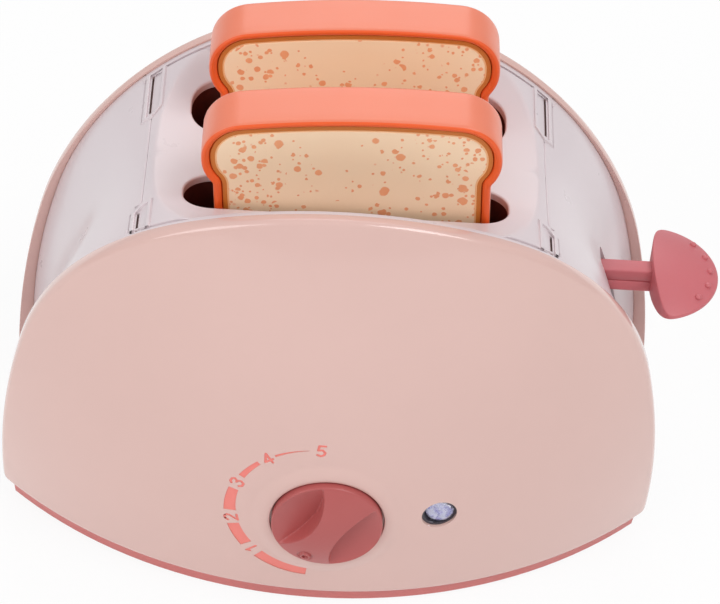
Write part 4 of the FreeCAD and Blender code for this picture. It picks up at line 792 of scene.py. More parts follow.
def rim(side):
    planks = Planks()
    end = seam_place(RIM_GUESS, STRIP_X)
    places = [end * k / 110 for k in range(110, -1, -1)]
    rows = []
    for inset, depth_in in RIM_PROFILE:
        right = []
        for t in places:
            y = end_depth(t, inset, depth_in)
            x, z = casing_point(t, y, inset)
            right.append((x, side * y, z))
        left = [(-x, y, z) for x, y, z in right[-2::-1]]
        rows.append(planks.row(right + left))
    planks.sheet(rows + rows[:1])
    for k in (0, -1):
        ring = [row[k] for row in rows]
        middle = np.mean([planks.points[i] for i in ring], axis=0)
        planks.cap(ring, tuple(middle))
    return planks


for name, side in (("front", -1), ("back", 1)):
    strip = mesh_object(name + "_rim", rim(side), 40)
    place_piece(strip, "casing", [CASING_WHITE], [name + "_trim_frame"])

# %% [markdown]
# ## The hollowed top cover
# The cover closes the arch between the seams. A wide shallow trough runs along it, so the slots lie
# a little lower than the rims. Its height is a rule: the lower of the arch and the trough, with the
# crease between them only just eased. The mesh grows outward from each slot in rings, which puts
# clean rows of quads round the slots' lips, where a boolean cut would leave slivers.

# %% The cover's height
SLOT_HALF, SLOT_WIDE, SLOT_ROUND, SLOT_Y, LIP, COVER_WALL = 44.1, 9.0, 8.0, 18.4, 0.6, 2.35
CREASE_EASE, COVER_BORDER = 0.45, SEAM_X - SEAM_GAP


def cover_height(x, y):
    (centre, shoulder, *_), drop = casing_section(y)
    reach = abs(x)
    if reach <= (CROWN_RADIUS - drop) * math.cos(math.radians(CROWN_ANGLE)):
        arch = CROWN_CENTRE + math.sqrt((CROWN_RADIUS - drop) ** 2 - reach ** 2)
    else:
        arch = centre[1] + math.sqrt((shoulder - drop) ** 2 - (reach - centre[0]) ** 2)
    trough = TROUGH_FLOOR + TROUGH_RADIUS - math.sqrt(TROUGH_RADIUS ** 2 - y * y)
    share = max(0.0, min(1.0, 0.5 + 0.5 * (trough - arch) / CREASE_EASE))
    return trough + share * (arch - trough) - CREASE_EASE * share * (1 - share)


def cover_edge(x):
    y = EDGE_GUESS
    for _ in range(6):
        y = panel_depth(x, cover_height(x, y), GROOVE_INSET)
    return y


print("cover height in the middle", cover_height(0, 0), "and at its edge", cover_edge(0))

# %% Rings round each slot
def slot_loop(steps_side=90, steps_corner=20):
    """Points and outward normals round a slot, about its own centre."""
    loop = []
    flat_x, flat_y = SLOT_HALF - SLOT_ROUND, SLOT_WIDE - SLOT_ROUND
    for cx, cy, a0 in ((flat_x, flat_y, 0), (-flat_x, flat_y, 90), (-flat_x, -flat_y, 180),
                       (flat_x, -flat_y, 270)):
        for k in range(steps_corner + 1):
            turn = a0 + 90 * k / steps_corner
            loop.append((*on_arc(turn, (cx, cy), SLOT_ROUND), *on_arc(turn, (0, 0), 1)))
        if a0 in (0, 180):
            away = 1.0 if a0 == 0 else -1.0
            for k in range(1, steps_side):
                x = cx - 2 * cx * k / steps_side
                loop.append((x, cy + SLOT_ROUND * away, 0.0, away))
    return loop


def outer_stop(x, y, nx, ny, half):
    """Where a ray from the slot's edge meets the border of its half of the cover."""
    def inside(d):
        px, py = x + nx * d, y + ny * d
        return abs(px) < COVER_BORDER and 0.0 < py * half < cover_edge(min(abs(px), SEAM_X))

    reach = halve(0.0, 80.0, 30, inside)[0]
    return x + nx * reach, y + ny * reach


def half_cover(planks, half):
    loop = [(x, y + half * SLOT_Y, nx, ny) for x, y, nx, ny in slot_loop()]
    stops = [outer_stop(x, y, nx, ny, half) for x, y, nx, ny in loop]
    far_y = half * cover_edge(COVER_BORDER)
    corners = [(sx * COVER_BORDER, y) for y in (0.0, far_y) for sx in (-1, 1)]
    for corner in corners:
        nearest = min(range(len(stops)), key=lambda k: math.dist(stops[k], corner))
        stops[nearest] = corner
    stops = [(x, 0.0 if abs(y) < 0.05 else y) for x, y in stops]
    rows = []

    def lip_row(out, drop):
        places = [(x + nx * out, y + ny * out) for x, y, nx, ny in loop]
        return planks.row([(x, y, cover_height(x, y) - drop) for x, y in places])

    rows.append(lip_row(0.0, COVER_WALL))
    for k in range(7):
        turn = math.radians(90 * k / 6)
        rows.append(lip_row(LIP * (1 - math.cos(turn)), LIP * (1 - math.sin(turn))))

    def spread_row(fraction, back_off, drop):
        points = []
        for (x, y, nx, ny), (ox, oy) in zip(loop, stops):
            sx, sy = x + nx * LIP, y + ny * LIP
            run = math.hypot(ox - sx, oy - sy)
            share = fraction if back_off is None else max(0.0, 1 - back_off / max(run, 1e-6))
            px, py = sx + share * (ox - sx), sy + share * (oy - sy)
            fall = 0.0 if oy == 0.0 else drop
            points.append((px, py, cover_height(px, py) - fall))
        return planks.row(points)

    for k in range(1, 27):
        rows.append(spread_row(0.97 * k / 26, None, 0.0))
    for share, fall in ROLL_STEPS[::-1]:
        rows.append(spread_row(None, ROLL * share, ROLL * fall))
    planks.sheet(rows, closed=True)


cover_planks = Planks()
for half in (-1, 1):
    half_cover(cover_planks, half)
top_cover = mesh_object("top_cover_skin", cover_planks, 40, facing=(0, 0, 1))
cut_clip_windows(top_cover, CLIP_SIDES)
finish_mesh(top_cover.data, 40)
place_piece(top_cover, "casing", [CASING_WHITE], ["top_cover"])

# %% [markdown]
# ## Clips on the seams
# Four clips bridge the seams. Each has a raised border, open towards the panel, and inside it a floor
# that slopes down to one long, deep slit, whose floor is coloured darker as painted shade. A clip is
# small but full of steps, so it is made as a fine height field: a grid whose lines crowd together
# where the height changes.

# %% The clips
RIDGE_WIDTH, RIDGE_HIGH, SLIT_HALF, SLIT_OFFSET = 1.5, 0.58, 0.3, 0.55
SLIT_START, SLIT_STOP, SLIT_FLOOR, SLIT_RAMP, CLIP_FLOOR = 3.3, 33.4, -1.6, 1.6, -0.2
CLIP_STRETCH_FROM, CLIP_OVERLAP = 30.0, 0.35


def ramp(value, stops):
    """A broken line through (position, height) stops."""
    return float(np.interp(value, [a for a, b in stops], [b for a, b in stops]))


RIDGE_STEPS = ((0.0, -0.05), (0.08, -0.5), (0.26, -0.5), (0.34, 0.2), (0.46, 0.5), (0.7, RIDGE_HIGH),
               (1.1, RIDGE_HIGH), (1.3, 0.5), (1.42, 0.2), (RIDGE_WIDTH, -9.0))


def clip_relief(x, y, side_y):
    """Height over the casing at a place on a clip, x and y counted as positive."""
    start = CLIP_START[side_y]
    to_side = min(x - (SEAM_X - CLIP_IN), SEAM_X + CLIP_OUT - x)
    if side_y < 0:
        chamfer = (SEAM_X + CLIP_OUT - x) + (y - start) - CLIP_CHAMFER
    else:
        chamfer = (x - (SEAM_X - CLIP_IN)) + (y - start) - CLIP_CHAMFER
    ridge = ramp(min(to_side, y - start, chamfer / math.sqrt(2)), RIDGE_STEPS)
    off = x - (SEAM_X + SLIT_OFFSET)
    slope = ramp(off, ((-3.0, -0.05), (-SLIT_HALF, -0.75), (SLIT_HALF, -0.6), (1.1, CLIP_FLOOR)))
    fade = ramp(y - start, ((SLIT_START - SLIT_RAMP, 1.0), (SLIT_START, 0.0)))
    floor = slope + fade * (CLIP_FLOOR - slope)
    if abs(off) < SLIT_HALF and start + SLIT_START < y < SLIT_STOP:
        floor = SLIT_FLOOR
    return max(ridge, floor)


def crowded(low, high, marks, step):
    """Grid lines from low to high, with extra lines on both sides of each mark."""
    lines = set(np.round(np.arange(low, high + 1e-6, step), 4)) | {high}
    for mark in marks:
        lines |= {round(mark + d, 4) for d in (-0.32, -0.16, -0.06, -0.01, 0.01, 0.06, 0.16, 0.32)}
    return [v for v in sorted(lines) if low <= v <= high]


def clip_grid(side_x, side_y):
    planks = Planks()
    x0, x1, start = SEAM_X - CLIP_IN, SEAM_X + CLIP_OUT, CLIP_START[side_y]
    slit = SEAM_X + SLIT_OFFSET
    steep = (x0, x1, x0 + RIDGE_WIDTH, x1 - RIDGE_WIDTH, slit - SLIT_HALF, slit + SLIT_HALF)
    columns = crowded(x0, x1, steep, 0.25)
    steep = (start, start + RIDGE_WIDTH, start + SLIT_START, SLIT_STOP)
    lines = crowded(start, CLIP_END, steep, 0.25)
    rows = []
    for y in lines:
        row = []
        for x in columns:
            far_end = panel_depth(x, cover_height(x, CLIP_END), GROOVE_INSET - CLIP_OVERLAP)
            share = max(0.0, y - CLIP_STRETCH_FROM) / (CLIP_END - CLIP_STRETCH_FROM)
            py = y + share * (far_end - CLIP_END)
            row.append((side_x * x, side_y * py, cover_height(x, py) + clip_relief(x, y, side_y)))
        rows.append(planks.row(row))
    planks.sheet(rows)
    # faces deep in the slit take the second material, a darker colour painted in for the shade there
    for index, face in enumerate(planks.faces):
        x, y = (sum(abs(planks.points[i][k]) for i in face) / 4 for k in (0, 1))
        planks.slots[index] = 1 if clip_relief(x, y, side_y) < -1.0 else 0
    made = mesh_object(f"clip_{len(bpy.data.objects)}", planks, 30, facing=(0, 0, 1))
    work = bmesh.new()
    work.from_mesh(made.data)
    corners = clip_corners(side_x, side_y)
    a, b = corners[1:3] if side_y < 0 else corners[0:2]
    at, normal = side_plane(a, b, (side_x * SEAM_X, side_y * CLIP_END))
    bmesh.ops.bisect_plane(work, geom=[*work.verts, *work.edges, *work.faces], plane_co=at,
                           plane_no=normal, clear_outer=True, dist=1e-7)
    work.to_mesh(made.data)
    work.free()
    return made


clips = join_pieces("seam_clip_set", [clip_grid(*pair) for pair in CLIP_SIDES])
place_piece(clips, "casing", [CASING_WHITE, CLIP_SLIT_PAINTED_SHADE], ["seam_clips"])

# %% [markdown]
# ## The toy slices
# Each slice is a moulded crust band with a speckled crumb set a little behind its edge. Between them
# runs a thin groove, then an ochre band and a pale line before the cream face starts. All of it
# follows one outline at different distances inwards, so one function draws the outline and rows of
# it are joined. The spots are a material: three sizes of cells from Voronoi noise, each cell
# deciding by its own random number whether it holds a spot and how large.

# %% The slice outline
SLICE_HEIGHT, SLICE_SIDE, LOBE, LOBE_X, LOBE_DROP, SLICE_CROWN = 74.5, 37.1, 12.0, 27.95, 1.0, 260.0
SLICE_FOOT, SLICE_NECK = 4.0, 2.5
SLICE_LEAN, SLICE_SHIFT, TRAY_TOP, SEAT_ROOM = 3.5, 4.2, 71.7, 0.05
# for the front and the back slice: tilt in degrees, how far the foot is off the slot, lift by the tilt
SLICE_TILT = {-1: (1.2, 0.6, 0.107), 1: (-1.3, -0.65, 0.117)}


def slice_outline(inset):
    """Points round a slice, standing on the ground, moved inwards by inset."""
    half, lobe, neck = SLICE_SIDE - inset, LOBE - inset, SLICE_NECK + inset
    foot = max(SLICE_FOOT - inset, 0.3)
    drop = math.sqrt((SLICE_CROWN - LOBE) ** 2 - LOBE_X ** 2)
    upper = SLICE_HEIGHT - SLICE_CROWN + drop
    lower = upper - LOBE_DROP
    crown_angle = math.degrees(math.atan2(drop, LOBE_X))
    neck_x = half + neck
    fall = math.sqrt((lobe + neck) ** 2 - (neck_x - LOBE_X) ** 2)
    neck_angle = math.degrees(math.atan2(-fall, neck_x - LOBE_X))
    right = [(foot_x, inset) for foot_x in np.linspace(0, half - foot, 12)]
    right += [on_arc(a, (half - foot, inset + foot), foot) for a in np.linspace(-90, 0, 8)[1:]]
    right += [(half, z) for z in np.linspace(inset + foot, lower - fall, 16)[1:]]
    right += [on_arc(a, (neck_x, lower - fall), neck) for a in np.linspace(180, 180 + neck_angle, 10)[1:]]
    right += [on_arc(a, (LOBE_X, lower), lobe) for a in np.linspace(neck_angle, 0, 16)[1:]]
    right += [on_arc(a, (LOBE_X, upper), lobe) for a in np.linspace(0, crown_angle, 18)]
    right += [on_arc(a, (0, SLICE_HEIGHT - SLICE_CROWN), SLICE_CROWN - inset)
              for a in np.linspace(crown_angle, 90, 14)[1:]]
    return right + [(-x, z) for x, z in right[-2:0:-1]]


def lean_slice(points, side):
    """Stands the points askew on the tray, as a loose slice stands. side is -1 in front, 1 behind."""
    turn = math.radians(SLICE_LEAN)
    tilt, foot_off, tilt_lift = SLICE_TILT[side]
    tilt = math.radians(tilt)
    lean_lift = math.sin(turn) * (SLICE_SIDE - SLICE_FOOT) + (1 - math.cos(turn)) * SLICE_FOOT
    lift = TRAY_TOP + lean_lift + SEAT_ROOM + tilt_lift
    placed = []
    for x, y, z in points:
        across = x * math.cos(turn) - z * math.sin(turn)
        high = x * math.sin(turn) + z * math.cos(turn)
        deep = y * math.cos(tilt) - high * math.sin(tilt)
        high = y * math.sin(tilt) + high * math.cos(tilt)
        placed.append((across + SLICE_SHIFT, deep + side * SLOT_Y + foot_off, high + lift))
    return placed


# pairs of (distance in from the outline, depth), from the inner edge over the lip to the outside
CRUST_PROFILE = ((2.3, -5.0), (2.27, -6.1), (2.16, -6.55), (1.95, -6.92), (1.65, -7.22), (1.3, -7.41),
                 (0.95, -7.5), (0.68, -7.47), (0.42, -7.32), (0.22, -7.06), (0.08, -6.7), (0.0, -6.2),
                 (0.0, -3.0))
LIP_ROWS = 9
print("slice outline", len(slice_outline(0)), "points")

# %% The crust band
def crust_band(side):
    planks = Planks()
    half = list(CRUST_PROFILE)
    profile = half + [(0.0, 0.0)] + [(i, -y) for i, y in reversed(half)]
    rows = []
    for inset, y in profile:
        rows.append(planks.row(lean_slice([(x, y, z) for x, z in slice_outline(inset)], side)))
    last = len(rows) - 1
    # the lip rows get the orange as painted shade where the lip faces forward and down; the rest gets the
    # coral with painted sheen
    for k, (a, b) in enumerate(zip(rows, rows[1:])):
        near_edge = min(k, last - 1 - k)
        planks.join(a, b, closed=True, slot=1 if near_edge < LIP_ROWS else 0)
    planks.join(rows[-1], rows[0], closed=True, slot=1)
    return planks


# %% The crumb and its rings
# (distance in from the outline, depth, material): the ochre band, the pale line and the cream face
CRUMB_STEPS = ((2.42, 5.0, 1), (2.42, 6.1, 1), (2.6, 6.34, 1), (3.75, 6.38, 1), (3.82, 6.3, 2),
               (4.2, 6.3, 2), (4.3, 6.46, 0), (4.7, 6.5, 0))


def crumb_block(side):
    planks = Planks()
    deep = CRUMB_STEPS[-1][1]
    for face in (-1, 1):
        rows = [planks.row(lean_slice([(x, face * depth, z) for x, z in slice_outline(inset)], side))
                for inset, depth, _ in CRUMB_STEPS]
        for k, (a, b) in enumerate(zip(rows, rows[1:])):
            planks.join(a, b, closed=True, slot=CRUMB_STEPS[k + 1][2])
        edge = slice_outline(CRUMB_STEPS[-1][0])
        middle = SLICE_HEIGHT / 2 + 4
        previous = rows[-1]
        for k in range(9, 0, -1):
            t = k / 10
            shrunk = [(t * x, face * deep, middle + t * (z - middle)) for x, z in edge]
            ring = planks.row(lean_slice(shrunk, side))
            planks.join(previous, ring, closed=True)
            previous = ring
        planks.cap(previous, lean_slice([(0.0, face * deep, middle)], side)[0])
        if face < 0:
            front_start = rows[0]
        else:
            planks.join(front_start, rows[0], closed=True, slot=1)
    return planks


# %% Where the spots sit
def wobbled_flat(tree, spot):
    """The place on the slice's face, shaken a little so that the spots aren't quite round."""
    def vector_node(operation, values):
        return add_node(tree, "ShaderNodeVectorMath", values, operation=operation).outputs[0]

    offset = add_node(tree, "ShaderNodeTexNoise", {"Scale": 900.0, "Detail": 1.0, "Vector": spot})
    shrunk = vector_node("SCALE", {0: offset.outputs["Color"], "Scale": 0.0005})
    return vector_node("MULTIPLY", {0: vector_node("ADD", {0: spot, 1: shrunk}), 1: (1.0, 0.0, 1.0)})


# %% The spotted crumb
SPOT_SIZES = ((280.0, 0.44, 0.66), (400.0, 0.45, 0.6), (560.0, 0.45, 0.54))


def spotted_crumb(name):
    """Each spot size is a cell scale, a largest radius in cells and a threshold for the draw."""
    material, tree, shader, spot = new_material(name)
    flat = wobbled_flat(tree, spot)
    parts = add_node(tree, "ShaderNodeSeparateXYZ", {0: spot})
    off_middle = math_node(tree, "ABSOLUTE", parts.outputs[0])
    sideways = spread(tree, off_middle, -0.3, 0.14, 0.004, 0.03)
    patches = spread(tree, noise(tree, spot, 60.0, 1.0), -0.16, 0.16, 0.35, 0.65)
    crowd = math_node(tree, "ADD", patches, sideways)
    total = None
    for scale, size, keep in SPOT_SIZES:
        cells = add_node(tree, "ShaderNodeTexVoronoi", {"Scale": scale, "Randomness": 0.9, "Vector": flat})
        pick = add_node(tree, "ShaderNodeSeparateColor", {0: cells.outputs["Color"]})
        chance = math_node(tree, "ADD", pick.outputs[0], crowd)
        there = math_node(tree, "GREATER_THAN", chance, keep)
        radius = spread(tree, pick.outputs[1], size * 0.45, size)
        gap = math_node(tree, "SUBTRACT", radius, cells.outputs["Distance"])
        dot = spread(tree, gap, 0.0, 1.0, 0.0, 0.06)
        dot = math_node(tree, "MULTIPLY", dot, there)
        total = dot if total is None else math_node(tree, "MAXIMUM", total, dot)
    cloud = noise(tree, spot, 30.0, 3.0)
    speckle = noise(tree, spot, 200.0)
    cream = mix_colour(tree, soft_range(tree, cloud), linear(253, 219, 184), linear(255, 227, 194))
    toasted = mix_colour(tree, soft_range(tree, speckle), linear(240, 158, 112), linear(247, 172, 126))
    set_inputs(shader, {"Base Color": mix_colour(tree, total, cream, toasted),
                        "Roughness": spread(tree, total, 0.42, 0.5)})
    height = math_node(tree, "ADD", math_node(tree, "MULTIPLY", total, 0.5), noise(tree, spot, 900.0))
    bump(tree, shader, height, 0.00003)
    return material


CRUMB_CREAM = spotted_crumb("crumb_speckled")
for name, side in (("front", -1), ("back", 1)):
    body = name + "_slice"
    crust = mesh_object(name + "_crust_band", crust_band(side), 50)
    place_piece(crust, body, [CRUST_CORAL_PAINTED_SHEEN, CRUST_RIM_PAINTED_SHADE], [body + "_crust"])
    crumb = mesh_object(name + "_crumb_face", crumb_block(side), 50)
    place_piece(crumb, body, [CRUMB_CREAM, BAND_OCHRE, PALE_LINE], [body + "_crumb"])

# %% [markdown]
# ## Lever arm and knob
# The knob is half a lens lying flat: two shallow domes that meet in a thin rim, cut off on the side
# of the arm. Its mesh is rings that shrink towards the middle, each lifted to the dome's height and
# rounded off just before the rim. The arm is a rounded bar with a fine groove along front and back.

# %% The knob
KNOB_X, KNOB_RADIUS, KNOB_LEVEL = 88.6, 19.4, 77.1
KNOB_RIM_HALF, KNOB_CROWN, KNOB_KEEL, KNOB_SOFT = 0.5, 4.8, 4.7, 0.5
KNOB_MIDDLE, KNOB_BACK_RADIUS, KNOB_POINTS = (97.0, 0.0), 60.0, 240


def knob_outline():
    """The knob's plan: a half-round outside, a gently convex inside, rounded corners."""
    loop = [on_arc(-90 + 180 * k / 159, (KNOB_X, 0), KNOB_RADIUS) for k in range(160)]
    loop = [(x, y) for x, y in loop if x > knob_back(y) + 0.4]
    top = loop[-1][1]
    loop += [(knob_back(y), y) for y in np.linspace(top - 0.5, -top + 0.5, 60)]
    points = np.array(loop)
    for _ in range(26):
        points = 0.5 * points + 0.25 * (np.roll(points, 1, 0) + np.roll(points, -1, 0))
    closed = np.vstack([points, points[:1]])
    run = run_along(closed)
    wanted = np.linspace(0, run[-1], KNOB_POINTS + 1)[:-1]
    return [(np.interp(w, run, closed[:, 0]), np.interp(w, run, closed[:, 1])) for w in wanted]


def knob_back(y):
    """The gently curved face towards the toaster."""
    return KNOB_X + y * y / (2 * KNOB_BACK_RADIUS)


def knob_dome(x, y, bulge):
    """Height of a dome over the rim's plane."""
    reach = math.hypot(x - KNOB_X, y) / KNOB_RADIUS
    return KNOB_RIM_HALF + bulge * max(0.0, 1 - reach ** 2)


def knob_paddle():
    planks = Planks()
    loop = knob_outline()
    shares = [1 - (1 - k / 30) ** 1.7 for k in range(1, 31)]
    edges = []
    for sign, bulge in ((1, KNOB_CROWN), (-1, KNOB_KEEL)):
        rows = []
        for share in shares:
            row = []
            for x, y in loop:
                px, py = KNOB_MIDDLE[0] + share * (x - KNOB_MIDDLE[0]), share * y
                edge = (1 - share) * math.hypot(x - KNOB_MIDDLE[0], y)
                inside = max(0.0, KNOB_SOFT - edge)
                fall = KNOB_SOFT - math.sqrt(KNOB_SOFT ** 2 - inside ** 2)
                row.append((px, py, KNOB_LEVEL + sign * (knob_dome(px, py, bulge) - fall)))
            rows.append(planks.row(row))
        planks.cap(rows[0], (*KNOB_MIDDLE, KNOB_LEVEL + sign * knob_dome(*KNOB_MIDDLE, bulge)))
        planks.sheet(rows, closed=True)
        edges.append(rows[-1])
    planks.join(edges[0], edges[1], closed=True)
    return planks


knob = mesh_object("knob_paddle", knob_paddle(), 50)

# %% [markdown]
# The five raised dots follow an arc on the knob, evenly spaced: a small job for Geometry Nodes. The
# tree makes the arc, sets a flattened bead on each of its points, and turns the beads into mesh.

# %% Beads along an arc, with Geometry Nodes
def node_tool(name, sockets):
    """An empty geometry tree with named number inputs."""
    tree = bpy.data.node_groups.new(name, "GeometryNodeTree")
    tree.interface.new_socket("Geometry", in_out="INPUT", socket_type="NodeSocketGeometry")
    tree.interface.new_socket("Geometry", in_out="OUTPUT", socket_type="NodeSocketGeometry")
    for label, kind, value in sockets:
        socket = tree.interface.new_socket(label, in_out="INPUT", socket_type=kind)
        socket.default_value = value
    return tree, tree.nodes.new("NodeGroupInput"), tree.nodes.new("NodeGroupOutput")


def painted_copies(tree, lay, material, outside):
    """The last steps of a tree: the laid copies become one mesh of one material."""
    real = add_node(tree, "GeometryNodeRealizeInstances", {0: lay.outputs[0]})
    paint = add_node(tree, "GeometryNodeSetMaterial", {"Geometry": real.outputs[0], "Material": material})
    set_inputs(outside, {0: paint.outputs[0]})
    return tree


def run_tool(name, tree, values):
    """Runs a tree on an empty mesh and keeps the result as a plain mesh."""
    made = put_in_scene(name, bpy.data.meshes.new(name))
    step = made.modifiers.new("tool", "NODES")
    step.node_group = tree
    for item in tree.interface.items_tree:
        if item.item_type == "SOCKET" and item.in_out == "INPUT" and item.name in values:
            step[item.identifier] = values[item.name]
    apply_modifiers(made)
    finish_mesh(made.data, 40.0)
    return made


def bead_tree(material):
    tree, inside, outside = node_tool("beads_on_arc", (
        ("Count", "NodeSocketInt", 5), ("Arc radius", "NodeSocketFloat", 0.0172),
        ("Start", "NodeSocketFloat", 0.0), ("Sweep", "NodeSocketFloat", 1.4),
        ("Bead radius", "NodeSocketFloat", 0.0009), ("Flatness", "NodeSocketFloat", 0.5)))
    given = inside.outputs
    arc = add_node(tree, "GeometryNodeCurveArc", {
        "Resolution": given["Count"], "Radius": given["Arc radius"], "Start Angle": given["Start"],
        "Sweep Angle": given["Sweep"]})
    bead = add_node(tree, "GeometryNodeMeshUVSphere", {
        "Segments": 24, "Rings": 12, "Radius": given["Bead radius"]})
    size = add_node(tree, "ShaderNodeCombineXYZ", {0: 1.0, 1: 1.0, 2: given["Flatness"]})
    lay = add_node(tree, "GeometryNodeInstanceOnPoints", {
        "Points": arc.outputs["Curve"], "Instance": bead.outputs["Mesh"], "Scale": size.outputs[0]})
    return painted_copies(tree, lay, material, outside)


def shift_mesh(piece, offset):
    piece.data.transform(Matrix.Translation(Vector(to_metres([offset])[0])))
    return piece


BEAD_STEP, BEAD_ARC, BEAD_PROUD = 20.5, 16.9, 0.2
beads = run_tool("knob_beads", bead_tree(LEVER_ROSE), {
    "Count": 5, "Arc radius": BEAD_ARC * MM, "Start": math.radians(-2 * BEAD_STEP),
    "Sweep": math.radians(4 * BEAD_STEP), "Bead radius": 0.00095, "Flatness": 0.8})
bead_level = KNOB_LEVEL + knob_dome(KNOB_X + BEAD_ARC, 0, KNOB_CROWN) + BEAD_PROUD
shift_mesh(beads, (KNOB_X, 0, bead_level))
place_piece(knob, "carriage", [LEVER_ROSE], ["lever_knob"])
place_piece(beads, "carriage", [LEVER_ROSE])

# %% The arm
ARM_HALF, ARM_CORNER, FLANGE_HALF = 2.5, 0.55, 7
ARM_STATIONS, FLANGE_STATIONS = (53.3, 62.0, 72.0, 82.0, 91.5), (53.21, 55.2)
GROOVE_STEPS = ((0.0, 0.45), (0.12, 0.3), (0.45, 0.2), (0.45, -0.2), (0.12, -0.3), (0.0, -0.45))


def arm_profile():
    """The arm's section in YZ: rounded corners, a groove half way up each side."""
    wide, high = ARM_HALF - ARM_CORNER, LEVER_HALF_HEIGHT - ARM_CORNER
    corners = round_corners(wide, high, -high, ARM_CORNER)
    grooves = [[(side * (ARM_HALF - depth), -side * z) for depth, z in GROOVE_STEPS] for side in (-1, 1)]
    loop = corners[0] + corners[1] + grooves[0] + corners[2] + corners[3] + grooves[1]
    return [(y, z + LEVER_HEIGHT) for y, z in loop]


arm_planks = Planks()
add_bar(arm_planks, arm_profile(), ARM_STATIONS, LEVER_HEIGHT)
low, high = LEVER_HEIGHT - LEVER_HALF_HEIGHT, LEVER_HEIGHT + LEVER_HALF_HEIGHT
flange_loop = [(-FLANGE_HALF, low), (FLANGE_HALF, low), (FLANGE_HALF, high), (-FLANGE_HALF, high)]
add_bar(arm_planks, flange_loop, FLANGE_STATIONS, LEVER_HEIGHT)
arm = mesh_object("lever_bar", arm_planks, 40)
place_piece(arm, "carriage", [LEVER_ROSE], ["lever_arm"])

# %% [markdown]
# ## The dial
# The dial is a low dome with two scoops that leave a waisted grip between them, turned so that the
# grip's pointer end is at the lower left. A height rule over a round grid gives all of it: dome,
# scoops, the soft steps between them and the small raised ring of the pointer.

# %% The dial's height
DIAL_RADIUS, DIAL_FACE, DIAL_FOOT, POINTER = 15.5, 66.4, 63.3, 243.0
GRIP_HALF, SCOOP_RADIUS, DIAL_DOME, DIAL_EDGE = 3.9, 21.0, 3.5, 0.5
POINTER_PLACE, POINTER_RADIUS = 12.2, 1.2


def ease(value):
    t = max(0.0, min(1.0, value))
    return t * t * (3 - 2 * t)


def dial_height(x, z):
    """Height in front of the dial's rim plane, x and z from its middle."""
    turn = math.radians(POINTER)
    along = x * math.cos(turn) + z * math.sin(turn)
    across = abs(-x * math.sin(turn) + z * math.cos(turn))
    distance = math.hypot(x, z)
    dome = DIAL_DOME * (1 - (distance / DIAL_RADIUS) ** 2)
    wall = SCOOP_RADIUS - math.hypot(across - GRIP_HALF - SCOOP_RADIUS, along)
    bowl = -2.6 + 2.8 * (distance / DIAL_RADIUS) ** 2
    cut = ease((wall + 0.1) / 0.6)
    height = dome + cut * min(0.0, bowl - dome)
    ring = abs(math.hypot(along - POINTER_PLACE, across) - POINTER_RADIUS)
    height += 0.5 * ease((0.42 - ring) / 0.2) - 0.3 * ease((0.35 - abs(ring - 0.75)) / 0.2)
    rim_fall = max(0.0, distance - (DIAL_RADIUS - DIAL_EDGE))
    return height - (DIAL_EDGE - math.sqrt(max(0.0, DIAL_EDGE ** 2 - rim_fall ** 2)))


def dial_disc():
    planks = Planks()
    steps = 480
    radii = [DIAL_RADIUS * k / 120 for k in range(1, 116)]
    radii += [DIAL_RADIUS - d for d in (DIAL_EDGE, 0.3, 0.15, 0.05, 0.0)]
    rows = []
    for radius in radii:
        row = []
        for k in range(steps):
            x, z = on_arc(360 * k / steps, (0, 0), radius)
            row.append((x, -DIAL_FACE - dial_height(x, z), z + DIAL_HEIGHT))
        rows.append(planks.row(row))
    circle = [on_arc(360 * k / steps, (0, DIAL_HEIGHT), DIAL_RADIUS) for k in range(steps)]
    for depth in (DIAL_FACE - 1.4, DIAL_FOOT):
        rows.append(planks.row([(x, -depth, z) for x, z in circle]))
    planks.cap(rows[0], (0, -DIAL_FACE - dial_height(0, 0), DIAL_HEIGHT))
    planks.sheet(rows, closed=True)
    planks.cap(rows[-1], (0, -DIAL_FOOT, DIAL_HEIGHT))
    return planks


dial = mesh_object("dial_cap", dial_disc(), 60)
place_piece(dial, "dial", [DIAL_ROSE], ["dial_knob"])

# %% [markdown]
# ## The lamp
# A clear lens with pressed facets sits in a dark cup. The facets are real flat faces in rings, turned
# half a step from ring to ring, and left unsmoothed, because flat faces are what makes a pressed lens
# glitter. A bright cone behind it stands for the silvered inside of the cup.

# %% Glass, silver and the facets
def clear_lens(name):
    material, tree, shader, spot = new_material(name)
    tint = noise(tree, spot, 300.0, 1.0)
    set_inputs(shader, {
        "Transmission Weight": 0.9, "IOR": 1.46,
        "Base Color": mix_colour(tree, tint, (0.80, 0.80, 0.98), (0.93, 0.93, 1.0)),
        "Roughness": spread(tree, noise(tree, spot, 700.0), 0.03, 0.09)})
    return material


def silvered(name):
    material, tree, shader, spot = new_material(name)
    cloud = spread(tree, noise(tree, spot, 700.0, 1.0), 0.0, 1.0, 0.42, 0.58)
    set_inputs(shader, {
        "Metallic": 0.85, "Base Color": mix_colour(tree, cloud, (0.26, 0.24, 0.56), (1.0, 1.0, 1.0)),
        "Roughness": spread(tree, cloud, 0.15, 0.4)})
    return material


LENS_CLEAR = clear_lens("lamp_lens_clear")
SILVER = silvered("lamp_silvered_cone")


def faceted_rings(name, rings):
    """Rings of 12 points, each turned half a step, joined by flat triangles."""
    planks = Planks()
    rows = []
    for k, (radius, y) in enumerate(rings):
        turn = 15.0 * (k % 2)
        ring = [on_arc(30 * j + turn, (LAMP_X, LAMP_HEIGHT), radius) for j in range(12)]
        rows.append(planks.row([(x, y, z) for x, z in ring]))
    planks.cap(rows[0], (LAMP_X, rings[0][1] - 0.12, LAMP_HEIGHT))
    for k, (a, b) in enumerate(zip(rows, rows[1:])):
        for j in range(12):
            n, m = (j + 1) % 12, (j - 1) % 12
            if k % 2 == 0:
                planks.faces += [(a[j], b[j], b[m]), (a[j], a[n], b[j])]
            else:
                planks.faces += [(a[j], b[j], b[n]), (a[j], a[n], b[n])]
            planks.slots += [0, 0]
    planks.cap(rows[-1], (LAMP_X, rings[-1][1], LAMP_HEIGHT))
    return mesh_object(name, planks, 0.5)


